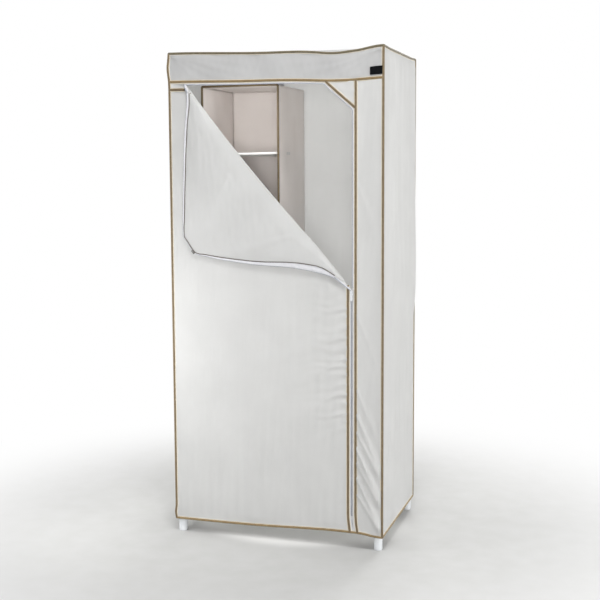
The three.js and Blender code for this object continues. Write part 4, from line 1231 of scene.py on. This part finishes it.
def add_camera():
    data = bpy.data.cameras.new("photo_camera")
    data.lens = FOCAL_PX * SENSOR / FRAME_PX
    data.sensor_width = SENSOR
    data.shift_y = (CENTRE_Y_PX - FRAME_PX / 2) / FRAME_PX
    data.clip_start = 0.05
    data.clip_end = 60
    camera = add_object("photo_camera", data)
    aimed = Matrix.Rotation(-YAW, 4, "Z") @ Matrix.Rotation(math.pi / 2 + PITCH, 4, "X")
    camera.matrix_world = Matrix.Translation(CAMERA_PLACE) @ aimed @ Matrix.Rotation(ROLL, 4, "Z")
    bpy.context.scene.camera = camera


add_camera()

# Floor: light grey near the wardrobe, lighter close under it, white further off. The lighter colour close
# under it is painted light that lifts the wardrobe's shadow there
FLOOR_HALF = 14.0
NEAR_RADIUS, FAR_RADIUS = 0.45, 1.75
PAINTED_LIGHT_START, PAINTED_LIGHT_END = 0.62, 1.0
PAINTED_LIGHT_REACH = (0.44, 0.31)


def distance_share(tree, vector, first, last):
    """0 where the vector's length is the first distance, rising smoothly to 1 at the last."""
    length = node(tree, "VectorMath", {0: vector}, operation="LENGTH").outputs["Value"]
    inputs = {"Value": length, "From Min": first, "From Max": last}
    return node(tree, "MapRange", inputs, interpolation_type="SMOOTHERSTEP").outputs["Result"]


def seen_directly(tree):
    """1 for what the camera sees, also in reflections and through clear pieces."""
    path = node(tree, "LightPath").outputs
    either = math_node(tree, "MAXIMUM", path["Is Camera Ray"], path["Is Glossy Ray"])
    return math_node(tree, "MAXIMUM", either, path["Is Transmission Ray"])


def floor_material():
    material, tree, shader, place = new_material("floor_look")
    scale = (1 / PAINTED_LIGHT_REACH[0], 1 / PAINTED_LIGHT_REACH[1], 1)
    footprint = node(tree, "Mapping", {"Vector": place, "Scale": scale}).outputs["Vector"]
    # Painted light: the floor's colour turns lighter under the wardrobe, where its shadow falls
    painted_light_share = distance_share(tree, footprint, PAINTED_LIGHT_END, PAINTED_LIGHT_START)
    mottled = noise(tree, place, 14, 4.0)
    grey = ramp(tree, mottled, (0.2, srgb(177, 177, 175)), (0.8, srgb(184, 184, 183)))
    colour = node(tree, "Mix", {"Factor": painted_light_share, "A": grey, "B": srgb(236, 236, 234)}, data_type="RGBA")
    fill(tree, shader, {"Base Color": colour.outputs["Result"], "Roughness": 0.9,
                        "Specular IOR Level": 0.1})
    white = node(tree, "Emission", {"Color": WHITE}).outputs["Emission"]
    far = distance_share(tree, place, NEAR_RADIUS, FAR_RADIUS)
    surface_mix(tree, math_node(tree, "MULTIPLY", seen_directly(tree), far), shader.outputs["BSDF"], white)
    return material


floor_corners = [(FLOOR_HALF * x, FLOOR_HALF * y, 0) for x, y in ((-1, -1), (1, -1), (1, 1), (-1, 1))]
floor = add_mesh("floor", floor_corners, [(0, 1, 2, 3)], 1, [floor_material()])

# World: even white light, white to the camera
WORLD_LEVEL = 0.42


def add_world():
    world = bpy.data.worlds.new("studio")
    bpy.context.scene.world = world
    world.use_nodes = True
    tree = world.node_tree
    light = tree.nodes["Background"]
    fill(tree, light, {"Color": WHITE, "Strength": WORLD_LEVEL})
    white = node(tree, "Background", {"Color": WHITE, "Strength": 1}).outputs["Background"]
    surface_mix(tree, seen_directly(tree), light.outputs["Background"], white, "World Output")


add_world()

# Lamps: place, the point they face, size across and power
LAMPS = {
    "camera_side": ((1.2, -4.0, 1.1), (0, 0, 0.9), 0.9, 56),
    "above": ((0.4, -1.35, 3.3), (0, -0.1, 0.8), 0.7, 42),
    "left": ((-0.7, -0.74, 0.68), (-0.34, -0.23, 0.62), 0.3, 4.4),
    "far_left": ((-3.0, 0.1, 1.0), (-0.36, 0, 0.95), 1.2, 38),
    "right": ((3.3, -0.6, 1.0), (0, 0, 0.7), 1.8, 66),
    "inside": ((-0.1, -0.195, 1.39), (-0.13, 0.2, 1.3), 0.22, 0.18),
    "rear": ((0.4, 3.2, 2.2), (0, 0, 0.9), 2.4, 132),
}
for name, (place, target, size, power) in LAMPS.items():
    data = bpy.data.lights.new(name, "AREA")
    data.shape = "DISK"
    data.size = size
    data.energy = power
    lamp = add_object(name, data)
    lamp.location = place
    lamp.visible_camera = False
    lamp.rotation_euler = (Vector(target) - Vector(place)).to_track_quat("-Z", "Y").to_euler()

bpy.context.scene.view_settings.view_transform = "Standard"
